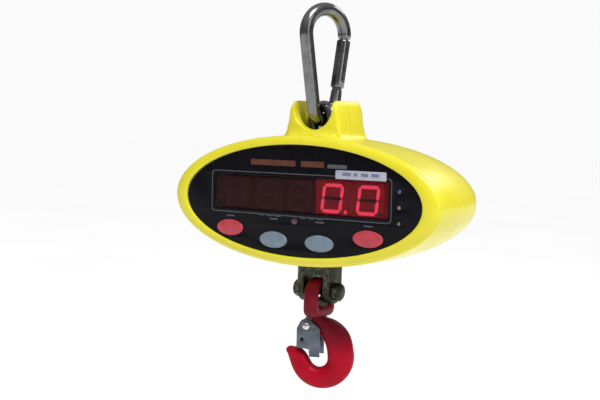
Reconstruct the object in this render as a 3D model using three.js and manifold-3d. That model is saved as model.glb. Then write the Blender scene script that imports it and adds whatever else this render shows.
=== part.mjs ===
// A hanging crane scale. An oval two-shell housing holds an S-shaped load cell, a battery and the
// electronics. A snap hook carries it by the load cell's eye, and a swivel hook with a safety latch
// hangs from the clevis below.
// Millimetres. +Z is up and the display faces -Y. The load runs down the Z axis, and the origin is the point
// inside the snap hook's bow where it bears on whatever it hangs from.
import * as THREE from "three";
import { mergeVertices } from "three/addons/utils/BufferGeometryUtils.js";
import Module from "manifold-3d";

const wasm = await Module();
wasm.setup();

// ---------------------------------------------------------------- driving dimensions

const GAP = 0.3; // running and touching clearance between neighbouring solids

// Snap hook: a pear-shaped bow of round bar. Radii are those of the bar's centre line.
const BAR = 5; // radius of the bar
const SNAP_LENGTH = 100;
const SNAP_BOW = 20;
const SNAP_BEND = 10.9;
const SNAP_TWIST = THREE.MathUtils.degToRad(18); // turn of the bow's plane out of the YZ plane
const SNAP_TONGUE = 4; // thickness of the flat tongues at its hinge and nose
const HINGE_Z = -54;
const BEND_Z = BAR * 3 - SNAP_LENGTH; // centre of the bar at the bottom of the bend

// Housing: proportional ellipses along Y, widest a little behind the rim, closing to a flat back.
const BODY_Z = -150; // middle of the oval
const HALF_WIDTH = 126;
const HALF_HEIGHT = 52;
const FRONT_Y = -38;
const BACK_Y = 66;
const WALL = 3;
const SPLIT_Y = 0; // the front shell ends here
const SEAL = 0.8; // thickness of the rubber in the split
const RIM_RADIUS = 3;
const ROUND_FROM = 0.26; // share of the depth where the back starts to close
const BACK_SHARE = 0.75; // size of the back face against the full section
const FLARE = 0.02; // growth of the section from the rim to the back, before the closing

// Face panel and what shows through it. Heights are measured from the middle of the face.
const PANEL = { halfWidth: 112, halfHeight: 44.4, front: -36.3, back: -33.9 };
const LEDGE = { halfWidth: 110, halfHeight: 42.4, front: -32.3, back: -29.3 };
const WINDOW = { width: 165, height: 27.5, z: 4.5 };
const DIGITS = { count: 5, pitch: 31, width: 30.6, height: 27, depth: 7.7 };
const BUTTON = { width: 27, height: 13.6, pitch: 44, z: -25.4, drop: 7, proud: 1.1, travel: 0.8 };
const BUTTON_NAMES = ["power_button", "hold_button", "tare_button", "zero_button"];
const LAMPS = { x: 92, spacing: 12, radius: 1.6 };
const RECEIVER = { x: -2, z: -16, radius: 3 };
const LABEL = { x: 58.5, z: 22.7, width: 51, height: 7.6, thickness: 0.4 };
const BOARD = { front: -25.2, thickness: 1.6, halfWidth: 104, halfHeight: 38 };
const BOARD_POST = { x: 62, z: 38, radius: 3.2 };

// Tower on top of the housing, with a notch that the snap hook swings in and a well for the eye.
const TOWER = { baseHalf: 27, topHalf: 23, top: -69, corner: 8, front: -17, back: 25, root: -105 };
const NOTCH = { radius: 18, z: -75.4 };
const WELL = { halfWidth: 19, halfDepth: 9.5, floor: -106, bottom: -109, wall: 2.5, hole: 7.6 };
const CLEVIS_OPENING = { halfWidth: 19.5, halfDepth: 14, corner: 4, lip: -198.6, depth: 5 };

// Load train down the Z axis.
const EYE = { ring: 12.5, section: 5 };
const THREAD = 6; // radius of the M12 studs
const CELL = { top: -117.6, height: 66, width: 50, depth: 20, slot: 3 };
const FORK = { top: -190.1, width: 31, depth: 20, plate: 6, crotch: -212.2 };
const PIN = { z: -225, radius: 4, acrossFlats: 13 }; // clevis bolt
const BAIL = { half: 15.5, hole: 9, top: -214.2, floor: -238.2, bottom: -247, thickness: 13 };
const SHANK = 5.5; // radius of the hook's swivel shank
const SHANK_TOP = -231.6;

// Hook, in its own plane: u runs away from the throat and the hook opens towards -u.
const HOOK = { turn: THREE.MathUtils.degToRad(20), thickness: 14 };
const HOOK_OUTER = { u: 3.5, z: -279.5, radius: 27 };
const HOOK_INNER = { u: 0.8, z: -281.4, radius: 7.6 };
const LATCH_PIVOT = { u: -8.5, z: -254.3 };
const LATCH = { inside: 7.6, sheet: 1.4, web: -16.4, front: 3.2, eye: 6.2, foot: -272, tongue: -279.4 };
const LATCH_PIN = { radius: 1.75, head: 3, headThick: 1.2, lug: 4.2, halfLug: 3.4 };

// Rear: battery box and door, charger socket, case screws.
const BATTERY = { width: 97, depth: 24, height: 51, back: 58 };
const DOOR = { halfWidth: 55, halfHeight: 31, thickness: 2.6, corner: 6, screwIn: 3, screwRadius: 1.2 };
const SOCKET = { x: 76, radius: 5.5, bore: 3.2, flange: 7.2, flangeThick: 1.5 };
const CASE_SCREW = { x: 97, z: 23, radius: 1.5, head: 38, reach: -14 };

// The ways of the two internal cables, from end to end.
const CELL_CABLE = [[26.6, 0, -168], [31, 0, -170], [37, -2, -168], [42, -6, -163], [45, -10.2, -160]];
const BATTERY_LEAD = [
  [0, 31.8, -128],
  [0, 27, -128],
  [16, 22, -127],
  [40, 12, -128],
  [60, 4, -132],
  [66, -5, -137],
  [66, -10.6, -140],
];

// ---------------------------------------------------------------- solids

// A closed three.js geometry as a solid, whichever way its faces are wound.
function solid(geometry) {
  const bare = geometry.index ? geometry.toNonIndexed() : geometry.clone();
  for (const name of Object.keys(bare.attributes)) {
    if (name !== "position") bare.deleteAttribute(name);
  }
  const merged = mergeVertices(bare, 1e-3);
  const position = merged.attributes.position;
  const index = Array.from(merged.index.array);
  const faces = [];
  let volume = 0;
  const [a, b, c] = [new THREE.Vector3(), new THREE.Vector3(), new THREE.Vector3()];
  for (let i = 0; i < index.length; i += 3) {
    const [p, q, r] = index.slice(i, i + 3);
    if (p === q || q === r || p === r) continue;
    faces.push(p, q, r);
    a.fromBufferAttribute(position, p);
    b.fromBufferAttribute(position, q);
    c.fromBufferAttribute(position, r);
    volume += a.dot(b.cross(c));
  }
  if (volume < 0) faces.reverse();
  return new wasm.Manifold(
    new wasm.Mesh({
      numProp: 3,
      vertProperties: new Float32Array(position.array),
      triVerts: new Uint32Array(faces),
    }),
  );
}

function geometryOf(body) {
  const mesh = body.getMesh();
  return new THREE.BufferGeometry()
    .setAttribute("position", new THREE.BufferAttribute(new Float32Array(mesh.vertProperties), 3))
    .setIndex(new THREE.BufferAttribute(new Uint32Array(mesh.triVerts), 1));
}

const joined = (...bodies) => bodies.reduce((all, body) => all.add(body));
const cut = (body, ...tools) => tools.reduce((left, tool) => left.subtract(tool), body);

function block([x0, x1], [y0, y1], [z0, z1]) {
  const geometry = new THREE.BoxGeometry(x1 - x0, y1 - y0, z1 - z0);
  return solid(geometry.translate((x0 + x1) / 2, (y0 + y1) / 2, (z0 + z1) / 2));
}

// A round bar from one point to another.
function rod(from, to, radius, sides = 24) {
  const [start, end] = [new THREE.Vector3(...from), new THREE.Vector3(...to)];
  const span = end.clone().sub(start);
  const geometry = new THREE.CylinderGeometry(radius, radius, span.length(), sides);
  const turn = new THREE.Quaternion().setFromUnitVectors(new THREE.Vector3(0, 1, 0), span.normalize());
  const middle = start.add(end).multiplyScalar(0.5);
  return solid(geometry.applyQuaternion(turn).translate(middle.x, middle.y, middle.z));
}

function hexagon(from, to, acrossFlats) {
  return rod(from, to, acrossFlats / Math.sqrt(3), 6);
}

// A flat outline drawn in x and z, between two depths along Y.
function plate(shape, y0, y1, options = {}) {
  const settings = { depth: y1 - y0, bevelEnabled: false, curveSegments: 24, ...options };
  const geometry = new THREE.ExtrudeGeometry(shape, settings);
  return solid(geometry.rotateX(Math.PI / 2).translate(0, y1, 0));
}

// An outline drawn in x and z, thickened to both sides of y = 0 with its edges rounded over.
function rounded(shape, half, edge, curveSegments = 8, steps = 2) {
  let outline = shape.getPoints(curveSegments);
  outline = outline.filter((p, i) => p.distanceTo(outline[(i + 1) % outline.length]) > 1e-3);
  if (THREE.ShapeUtils.isClockWise(outline)) outline.reverse();
  const count = outline.length;
  const inward = outline.map((p, i) => {
    const before = outline[(i + count - 1) % count];
    const after = outline[(i + 1) % count];
    const edgeIn = p.clone().sub(before).normalize();
    const tangent = after.clone().sub(p).normalize().add(edgeIn).normalize();
    return new THREE.Vector2(-tangent.y, tangent.x);
  });
  const layers = [];
  for (let i = 0; i <= steps; i++) {
    const angle = (i / steps) * (Math.PI / 2);
    layers.push([edge * (1 - Math.sin(angle)), -half + edge * (1 - Math.cos(angle))]);
  }
  layers.push(...layers.map(([inset, y]) => [inset, -y]).reverse());
  const positions = layers.flatMap(([inset, y]) =>
    outline.flatMap((p, i) => [p.x + inward[i].x * inset, y, p.y + inward[i].y * inset]),
  );
  const faces = [];
  for (let layer = 0; layer < layers.length - 1; layer++) {
    for (let i = 0; i < count; i++) {
      const [a, b] = [layer * count + i, layer * count + ((i + 1) % count)];
      faces.push(a, b, b + count, a, b + count, a + count);
    }
  }
  const last = (layers.length - 1) * count;
  for (const [a, b, c] of THREE.ShapeUtils.triangulateShape(outline, [])) {
    faces.push(a, c, b, last + a, last + b, last + c);
  }
  const geometry = new THREE.BufferGeometry();
  geometry.setAttribute("position", new THREE.BufferAttribute(new Float32Array(positions), 3));
  return solid(geometry.setIndex(faces));
}

function ellipse(halfWidth, halfHeight, x = 0, z = 0) {
  return new THREE.Shape().absellipse(x, z, halfWidth, halfHeight, 0, Math.PI * 2);
}

function roundedRectangle(halfWidth, halfHeight, corner, x = 0, z = 0) {
  const [w, h] = [halfWidth - corner, halfHeight - corner];
  return new THREE.Shape()
    .absarc(x + w, z + h, corner, 0, Math.PI / 2)
    .absarc(x - w, z + h, corner, Math.PI / 2, Math.PI)
    .absarc(x - w, z - h, corner, Math.PI, Math.PI * 1.5)
    .absarc(x + w, z - h, corner, Math.PI * 1.5, Math.PI * 2);
}

// A bar of round section along a curve.
function wire(curve, radius, steps, halfSides = 4) {
  const section = new THREE.Shape().absarc(0, 0, radius, 0, Math.PI * 2);
  const settings = { steps, extrudePath: curve, curveSegments: halfSides, bevelEnabled: false };
  return solid(new THREE.ExtrudeGeometry(section, settings));
}

function helix(radius, pitch, turns, wireRadius) {
  class Helix extends THREE.Curve {
    getPoint(t, target = new THREE.Vector3()) {
      const angle = t * turns * Math.PI * 2;
      return target.set(radius * Math.cos(angle), radius * Math.sin(angle), t * turns * pitch);
    }
  }
  return wire(new Helix(), wireRadius, Math.round(turns * 10), 3);
}

// ---------------------------------------------------------------- scene graph

const crane_scale = new THREE.Group();

const finishes = {
  zinc: { color: 0xb9bdc2, roughness: 0.25, metalness: 1 },
  steel: { color: 0x9a9da0, roughness: 0.4, metalness: 1 },
  yellow: { color: 0xf2e02c, roughness: 0.35, metalness: 0 },
  black: { color: 0x101113, roughness: 0.3, metalness: 0 },
  smoke: { color: 0x2a0406, roughness: 0.1, metalness: 0 },
  red: { color: 0xc0141f, roughness: 0.4, metalness: 0 },
  key_red: { color: 0xd8404a, roughness: 0.45, metalness: 0 },
  key_grey: { color: 0x8ba0ad, roughness: 0.45, metalness: 0 },
  rubber: { color: 0x17181a, roughness: 0.8, metalness: 0 },
  board: { color: 0x1d5a34, roughness: 0.5, metalness: 0 },
  white: { color: 0xdfe3e8, roughness: 0.4, metalness: 0 },
  clear: { color: 0xe8e6d8, roughness: 0.15, metalness: 0 },
};

function add(name, body, finish, parent = crane_scale) {
  const mesh = new THREE.Mesh(geometryOf(body), new THREE.MeshStandardMaterial(finishes[finish]));
  mesh.name = name;
  parent.add(mesh);
  return mesh;
}

// ---------------------------------------------------------------- snap hook
// Drawn in its own plane, x across the bow and z up, then turned so that the gate is behind the eye.

const snap = new THREE.Group();
snap.rotation.z = Math.PI / 2 - SNAP_TWIST;
crane_scale.add(snap);

const bowCentre = new THREE.Vector2(0, BAR - SNAP_BOW);
const bendCentre = new THREE.Vector2(0, BEND_Z + SNAP_BEND);
const lean = Math.asin((SNAP_BOW - SNAP_BEND) / (bowCentre.y - bendCentre.y));
const limb = new THREE.Vector2(Math.sin(lean), Math.cos(lean)); // up the gate side
const across = new THREE.Vector2(Math.cos(lean), -Math.sin(lean)); // out of the bow on the gate side
const nose = bowCentre.clone().addScaledVector(across, SNAP_BOW);
const limbFoot = bendCentre.clone().addScaledVector(across, SNAP_BEND);
const hinge = limbFoot.clone().addScaledVector(limb, (HINGE_Z - limbFoot.y) / limb.y);
const gateLength = nose.distanceTo(hinge) - 1;

// A point on the gate side's centre line, a distance above the hinge and to one side of it.
function onLimb(distance, side = 0) {
  const point = hinge.clone().addScaledVector(limb, distance).addScaledVector(across, side);
  return [point.x, 0, point.y];
}

function snapCurve() {
  const points = [];
  const arc = (centre, radius, from, to, count) => {
    for (let i = 0; i <= count; i++) {
      const angle = THREE.MathUtils.lerp(from, to, i / count);
      const [x, z] = [centre.x + radius * Math.cos(angle), centre.y + radius * Math.sin(angle)];
      points.push(new THREE.Vector3(x, 0, z));
    }
  };
  arc(bowCentre, SNAP_BOW, -lean, Math.PI + lean, 12);
  arc(bendCentre, SNAP_BEND, Math.PI + lean, Math.PI * 2 - lean, 10);
  points.push(new THREE.Vector3(...onLimb(-6.5)));
  return new THREE.CatmullRomCurve3(points, false, "centripetal");
}

// A slab lying in the bow's plane, along the gate side.
function limbSlab(from, to, halfWide, halfThick) {
  const geometry = new THREE.BoxGeometry(halfWide * 2, halfThick * 2, to - from);
  geometry.rotateY(lean);
  return solid(geometry.translate(...onLimb((from + to) / 2)));
}

function carabinerBody() {
  const tongue = SNAP_TONGUE / 2;
  const hingeTongue = joined(
    limbSlab(-9, 0, 3.6, tongue),
    rod([hinge.x, -tongue, hinge.y], [hinge.x, tongue, hinge.y], 3.6),
  );
  const noseTongue = limbSlab(gateLength - 5, gateLength + 4, 3, tongue);
  const pinHole = rod([hinge.x, -9, hinge.y], [hinge.x, 9, hinge.y], 1.5 + GAP);
  return cut(joined(wire(snapCurve(), BAR, 38, 8), hingeTongue, noseTongue), pinHole);
}

function carabinerGate() {
  const slot = SNAP_TONGUE / 2 + GAP;
  return cut(
    rod(onLimb(-4.4), onLimb(gateLength), BAR, 20),
    limbSlab(-6, 6, 8, slot),
    limbSlab(gateLength - 6, gateLength + 2, 8, slot),
    rod([hinge.x, -9, hinge.y], [hinge.x, 9, hinge.y], 1.5 + GAP),
    rod(onLimb(4), onLimb(24), 2.4),
  );
}

add("carabiner_body", carabinerBody(), "zinc", snap);
add("carabiner_gate", carabinerGate(), "zinc", snap);
add("gate_pin", rod([hinge.x, -5.6, hinge.y], [hinge.x, 5.6, hinge.y], 1.5), "steel", snap);
const gateSpring = add("gate_spring", helix(1.6, 2.6, 6, 0.4), "steel", snap);
gateSpring.position.set(...onLimb(7));
gateSpring.rotation.y = lean;

// ---------------------------------------------------------------- load train

function topEye() {
  const ringZ = BEND_Z + SNAP_BEND - EYE.ring;
  const ring = new THREE.TorusGeometry(EYE.ring, EYE.section, 12, 32);
  return joined(
    solid(ring.rotateX(Math.PI / 2).rotateZ(-SNAP_TWIST).translate(0, 0, ringZ)),
    rod([0, 0, ringZ - EYE.ring], [0, 0, CELL.top - 16], THREAD),
  );
}

// A plain nut on the load axis.
function lockNut(top, height, bore, acrossFlats = 19) {
  const hole = rod([0, 0, top - height - 1], [0, 0, top + 1], bore);
  return cut(hexagon([0, 0, top - height], [0, 0, top], acrossFlats), hole);
}

function eyeSeal() {
  const { floor, bottom, halfDepth, hole } = WELL;
  const reach = halfDepth - GAP;
  const disc = rod([0, 0, floor + GAP], [0, 0, floor + 1.6], 12);
  const flange = disc.intersect(block([-20, 20], [-reach, reach], [floor, floor + 2]));
  const neck = rod([0, 0, bottom], [0, 0, floor + 1], hole - GAP);
  return cut(joined(flange, neck), rod([0, 0, bottom - 5], [0, 0, floor + 9], THREAD + GAP));
}

// The S outline: a block with two slots cut from opposite sides and a gauge bore between them.
function loadCell() {
  const bottom = CELL.top - CELL.height;
  const middle = (CELL.top + bottom) / 2;
  const half = CELL.width / 2;
  const slotFrom = CELL.height / 2 - 17;
  const depth = [-CELL.depth / 2, CELL.depth / 2];
  const through = [depth[0] - 1, depth[1] + 1];
  const stud = THREAD + GAP;
  return cut(
    block([-half, half], depth, [bottom, CELL.top]),
    block([-half - 1, half - 12], through, [middle + slotFrom - CELL.slot, middle + slotFrom]),
    block([12 - half, half + 1], through, [middle - slotFrom, middle - slotFrom + CELL.slot]),
    rod([0, through[0], middle], [0, through[1], middle], 8),
    rod([0, 0, CELL.top - 17.5], [0, 0, CELL.top + 1], stud),
    rod([0, 0, bottom - 1], [0, 0, bottom + 17.5], stud),
  );
}

function clevis() {
  const half = FORK.width / 2;
  const gap = half - FORK.plate;
  const rounding = FORK.depth / 2;
  const cheeks = rod([-half, 0, PIN.z], [half, 0, PIN.z], rounding, 32);
  return cut(
    joined(
      block([-half, half], [-rounding, rounding], [PIN.z, FORK.top]),
      cheeks,
      rod([0, 0, FORK.top - 1], [0, 0, CELL.top - CELL.height + 16], THREAD),
    ),
    block([-gap, gap], [-20, 20], [PIN.z - 20, FORK.crotch]),
    rod([-half - 1, 0, PIN.z], [half + 1, 0, PIN.z], PIN.radius + GAP),
  );
}

function clevisBolt() {
  const half = FORK.width / 2 + GAP;
  return joined(
    rod([-half - 8, 0, PIN.z], [half + 1, 0, PIN.z], PIN.radius),
    hexagon([half, 0, PIN.z], [half + 5.3, 0, PIN.z], PIN.acrossFlats),
  );
}

function clevisNut() {
  const half = FORK.width / 2 + GAP;
  const bore = rod([-half - 20, 0, PIN.z], [0, 0, PIN.z], PIN.radius + GAP);
  return cut(hexagon([-half - 6.5, 0, PIN.z], [-half, 0, PIN.z], PIN.acrossFlats), bore);
}

function clevisWasher(side) {
  const [inner, outer] = [BAIL.thickness / 2 + GAP, FORK.width / 2 - FORK.plate - GAP];
  const disc = rod([side * inner, 0, PIN.z], [side * outer, 0, PIN.z], 6.4);
  return cut(disc, rod([-20, 0, PIN.z], [20, 0, PIN.z], PIN.radius + GAP));
}

// Drawn with the loop's width as x, then turned so that the clevis bolt passes through it along X.
function swivelBail() {
  const arch = (half, top, bottom, corner) =>
    new THREE.Shape()
      .absarc(0, top - half, half, 0, Math.PI)
      .absarc(corner - half, bottom + corner, corner, Math.PI, Math.PI * 1.5)
      .absarc(half - corner, bottom + corner, corner, Math.PI * 1.5, Math.PI * 2);
  const hole = arch(BAIL.hole, BAIL.top - (BAIL.half - BAIL.hole), BAIL.floor, 1);
  const bore = rod([0, 0, BAIL.floor + 3], [0, 0, BAIL.bottom - 3], SHANK + GAP);
  const outer = rounded(arch(BAIL.half, BAIL.top, BAIL.bottom, 6), BAIL.thickness / 2, 1.5);
  return cut(outer, plate(hole, -20, 20, { curveSegments: 12 }), bore).rotate([0, 0, 90]);
}

// Fills the opening in the housing's underside, round the clevis.
function bottomSeal() {
  const { halfWidth, halfDepth, corner, lip, depth } = CLEVIS_OPENING;
  const outline = roundedRectangle(halfWidth - GAP, halfDepth - GAP, corner);
  outline.holes.push(roundedRectangle(FORK.width / 2 + GAP, FORK.depth / 2 + GAP, 0.5));
  const geometry = new THREE.ExtrudeGeometry(outline, { depth, bevelEnabled: false, curveSegments: 6 });
  return solid(geometry.translate(0, 0, lip - depth));
}

add("top_eye", topEye(), "zinc");
add("top_eye_nut", lockNut(WELL.bottom - 1.9, 6, THREAD + GAP), "steel");
add("top_eye_seal", eyeSeal(), "rubber");
add("load_cell", loadCell(), "steel");
add("clevis_locknut", lockNut(FORK.top + 6, 5.7, THREAD + GAP), "steel");
add("clevis", clevis(), "steel");
add("clevis_bolt", clevisBolt(), "steel");
add("clevis_nut", clevisNut(), "steel");
add("clevis_washer_left", clevisWasher(-1), "steel");
add("clevis_washer_right", clevisWasher(1), "steel");
add("bottom_seal", bottomSeal(), "rubber");
add("swivel_bail", swivelBail(), "red");

// ---------------------------------------------------------------- hook
// Drawn in its own plane, with u as x, then turned about Z.

const hookGroup = new THREE.Group();
hookGroup.rotation.z = HOOK.turn;
crane_scale.add(hookGroup);

function hookOutline() {
  const { u, z, radius } = HOOK_OUTER;
  const inner = HOOK_INNER;
  const top = BAIL.bottom - 1;
  const neck = LATCH_PIVOT.u + 3.4;
  return new THREE.Shape()
    .moveTo(neck, top)
    .lineTo(7, top)
    .bezierCurveTo(12, -248.5, 25, -254, 29, -268)
    .absarc(u, z, radius, 0.2, -Math.PI + 0.32, true)
    .bezierCurveTo(-23.6, -284, -24.2, -281, -26.6, -277)
    .absarc(-24.6, -275.6, 2.5, -Math.PI + 0.6, Math.PI / 2, true)
    .lineTo(-15.4, -274.4)
    .bezierCurveTo(-10.5, -275.8, -8.6, -281, inner.u - 6.58, inner.z - 3.8)
    .absarc(inner.u, inner.z, inner.radius, Math.PI * 1.1667, Math.PI * 2, false)
    .bezierCurveTo(8.4, -270, 4.4, -262.5, -2, -259.5)
    .lineTo(neck, -258.7);
}

function hookBody() {
  const { u, z } = LATCH_PIVOT;
  const { lug, halfLug, radius } = LATCH_PIN;
  const collar = BAIL.bottom - 5;
  return cut(
    joined(
      rounded(hookOutline(), HOOK.thickness / 2, 2),
      block([u, 2], [-halfLug, halfLug], [z - 5.4, z + lug]),
      rod([u, -halfLug, z], [u, halfLug, z], lug),
      rod([0, 0, BAIL.bottom - GAP], [0, 0, collar], 7),
      rod([0, 0, collar], [0, 0, SHANK_TOP], SHANK),
    ),
    rod([u, -9, z], [u, 9, z], radius + GAP),
  );
}

// A folded sheet: two cheeks outside the hook's blade, joined by a web that closes the throat above the
// tip. The cheeks' upper edge slopes so that it stays under the bail while the latch opens.
function latchBody() {
  const { u, z } = LATCH_PIVOT;
  const { inside, sheet, web, front, eye, foot, tongue } = LATCH;
  const outside = inside + sheet;
  const opening = THREE.MathUtils.degToRad(40);
  const cheek = new THREE.Shape()
    .moveTo(front, tongue)
    .lineTo(front, z + (eye - (front - u) * Math.sin(opening)) / Math.cos(opening))
    .absarc(u, z, eye, Math.PI / 2 - opening, Math.PI * 0.8)
    .lineTo(web, z - 2)
    .lineTo(web, foot)
    .lineTo(u + 2.4, foot - 1.4)
    .lineTo(u + 3, tongue);
  return cut(
    joined(
      plate(cheek, -outside, -inside),
      plate(cheek, inside, outside),
      block([web, web + sheet], [-outside, outside], [foot, z - 5]),
    ),
    rod([u, -12, z], [u, 12, z], LATCH_PIN.radius + GAP),
  );
}

function latchPin() {
  const { u, z } = LATCH_PIVOT;
  const { radius, head, headThick } = LATCH_PIN;
  const inner = LATCH.inside + LATCH.sheet + GAP;
  return joined(
    rod([u, -inner - 0.5, z], [u, inner + 0.5, z], radius),
    rod([u, inner, z], [u, inner + headThick, z], head),
    rod([u, -inner - headThick, z], [u, -inner, z], head),
  );
}

add("hook", hookBody(), "red", hookGroup);
add("hook_nut", lockNut(SHANK_TOP - 0.2, 5.4, SHANK + GAP, 14.4), "steel", hookGroup);
add("latch", latchBody(), "zinc", hookGroup);
add("latch_pin", latchPin(), "steel", hookGroup);
const latchCoil = add("latch_spring", helix(3, 1.15, 2.6, 0.45), "steel", hookGroup);
latchCoil.position.set(LATCH_PIVOT.u, 7.2, LATCH_PIVOT.z);
latchCoil.rotation.x = Math.PI / 2;

// ---------------------------------------------------------------- housing shells

// Half-size of the outer section at a depth, as a share of the full ellipse.
function sectionShare(y) {
  const t = (y - FRONT_Y) / (BACK_Y - FRONT_Y);
  const closing = Math.max(0, (t - ROUND_FROM) / (1 - ROUND_FROM));
  return (1 + FLARE * t) * (BACK_SHARE + (1 - BACK_SHARE) * Math.sqrt(Math.max(0, 1 - closing * closing)));
}

// Stacked ellipses about the middle of the housing, from a list of [share of full size, depth].
function stacked(profile, halfWidth, halfHeight) {
  const points = profile.map(([share, y]) => new THREE.Vector2(share, y));
  const geometry = new THREE.LatheGeometry(points, 48);
  return solid(geometry.scale(halfWidth, 1, halfHeight).translate(0, 0, BODY_Z));
}

function outerProfile(from, to, steps) {
  const rows = [];
  for (let i = 0; i <= steps; i++) {
    // Cosine spacing puts more rows where the back closes.
    const y = from + (to - from) * Math.sin((i / steps) * Math.PI * 0.5);
    rows.push([sectionShare(y), y]);
  }
  return rows;
}

function frontBlank() {
  const rim = RIM_RADIUS / HALF_HEIGHT;
  return stacked(
    [[0, FRONT_Y], [1 - rim, FRONT_Y], [1 - rim * 0.3, FRONT_Y + 0.9], [1, FRONT_Y + RIM_RADIUS],
      ...outerProfile(FRONT_Y + 8, SPLIT_Y, 3), [0, SPLIT_Y]],
    HALF_WIDTH,
    HALF_HEIGHT,
  );
}

function rearBlank() {
  const start = SPLIT_Y + SEAL + 2 * GAP;
  return stacked([[0, start], ...outerProfile(start, BACK_Y, 9), [0, BACK_Y]], HALF_WIDTH, HALF_HEIGHT);
}

// The space inside the wall, between two depths.
function cavity(from, to, steps) {
  const profile = [[0, from], ...outerProfile(from, to, steps), [0, to]];
  return stacked(profile, HALF_WIDTH - WALL, HALF_HEIGHT - WALL);
}

function ovalPlate(halfWidth, halfHeight, y0, y1) {
  return plate(ellipse(halfWidth, halfHeight, 0, BODY_Z), y0, y1, { curveSegments: 24 });
}

function tower(y0, y1) {
  const { baseHalf, topHalf, top, corner, root } = TOWER;
  const slope = Math.atan2(baseHalf - topHalf, top - root);
  const side = topHalf - corner;
  return plate(
    new THREE.Shape()
      .moveTo(-baseHalf, root)
      .lineTo(baseHalf, root)
      .absarc(side, top - corner, corner, slope, Math.PI / 2)
      .absarc(-side, top - corner, corner, Math.PI / 2, Math.PI - slope),
    y0,
    y1,
    { curveSegments: 8 },
  );
}

// Everything cut through the tower: the notch along Y, and the well that the eye stands in.
function towerCuts() {
  const { radius, z } = NOTCH;
  const notch = plate(
    new THREE.Shape().moveTo(radius, -50).lineTo(-radius, -50).absarc(0, z, radius, Math.PI, Math.PI * 2),
    -40,
    40,
    { curveSegments: 24 },
  );
  const { halfWidth, halfDepth, floor } = WELL;
  return joined(notch, block([-halfWidth, halfWidth], [-halfDepth, halfDepth], [floor, -50]));
}

function wellBox() {
  const { halfWidth, halfDepth, bottom, wall } = WELL;
  return block([-halfWidth - wall, halfWidth + wall], [-halfDepth - wall, halfDepth + wall], [bottom, -98]);
}

const eyeHole = () => rod([0, 0, WELL.bottom - 5], [0, 0, WELL.floor + 5], WELL.hole);

function clevisOpening() {
  const { halfWidth, halfDepth, corner, lip } = CLEVIS_OPENING;
  const outline = roundedRectangle(halfWidth, halfDepth, corner);
  const settings = { depth: 30, bevelEnabled: false, curveSegments: 6 };
  return solid(new THREE.ExtrudeGeometry(outline, settings).translate(0, 0, lip - 21.4));
}

// Two places above the middle of the oval, then two below it, as [x, z].
function corners(x, z) {
  return [[-x, z], [x, z], [-x, -z], [x, -z]].map(([u, v]) => [u, BODY_Z + v]);
}

const bossPlaces = () => corners(CASE_SCREW.x, CASE_SCREW.z);
const boardPlaces = () => corners(BOARD_POST.x, BOARD_POST.z);

// A round bar along Y.
function along(x, z, y0, y1, radius, sides = 20) {
  return rod([x, y0, z], [x, y1, z], radius, sides);
}

// A boss for a case screw, with a web out to the wall.
function screwBoss([x, z]) {
  const { reach } = CASE_SCREW;
  const [inner, outer] = [Math.min(x, x + Math.sign(x) * 18), Math.max(x, x + Math.sign(x) * 18)];
  const web = block([inner, outer], [reach - 4, SPLIT_Y], [z - 2.5, z + 2.5]);
  return joined(along(x, z, reach - 4, SPLIT_Y, 5), web);
}

function frontShell() {
  const hollow = cut(
    frontBlank(),
    ovalPlate(PANEL.halfWidth + GAP, PANEL.halfHeight + GAP, -60, LEDGE.front),
    ovalPlate(LEDGE.halfWidth, LEDGE.halfHeight, -60, LEDGE.back + 1),
    cavity(LEDGE.back, SPLIT_Y + 0.01, 3),
  );
  const { front } = BOARD;
  const posts = boardPlaces().map(([x, z]) => along(x, z, LEDGE.back - 1, front - GAP, BOARD_POST.radius));
  const frontHalf = block([-200, 200], [-100, SPLIT_Y], [-260, -40]);
  const towerHalf = tower(TOWER.front, SPLIT_Y);
  const well = wellBox().intersect(frontHalf);
  return cut(
    joined(hollow, towerHalf, well, ...posts, ...bossPlaces().map(screwBoss))
      .intersect(joined(frontBlank(), towerHalf)),
    towerCuts(),
    eyeHole(),
    clevisOpening(),
    ...bossPlaces().map(([x, z]) => along(x, z, CASE_SCREW.reach - 1.5, 5, CASE_SCREW.radius + GAP, 12)),
    ...boardPlaces().slice(0, 2).map(([x, z]) => along(x, z, LEDGE.back + 0.6, -20, 1.1 + GAP, 12)),
  );
}

// The battery's compartment, or the same box grown by its wall.
function batteryBox(grow) {
  const { width, depth, height, back } = BATTERY;
  const z = BODY_Z;
  return block(
    [-width / 2 - 0.8 - grow, width / 2 + 0.8 + grow],
    [back - depth - 0.8 - grow, BACK_Y + (grow ? -1 : 5)],
    [z - height / 2 - 0.8 - grow, z + height / 2 + 0.8 + grow],
  );
}

function doorOutline(grow = 0) {
  return roundedRectangle(DOOR.halfWidth + grow, DOOR.halfHeight + grow, DOOR.corner, 0, BODY_Z);
}

// Something made once on each side of the door, at its screws.
function atDoorScrews(make) {
  return [-1, 1].map((side) => make(side * (DOOR.halfWidth - DOOR.screwIn)));
}

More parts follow.
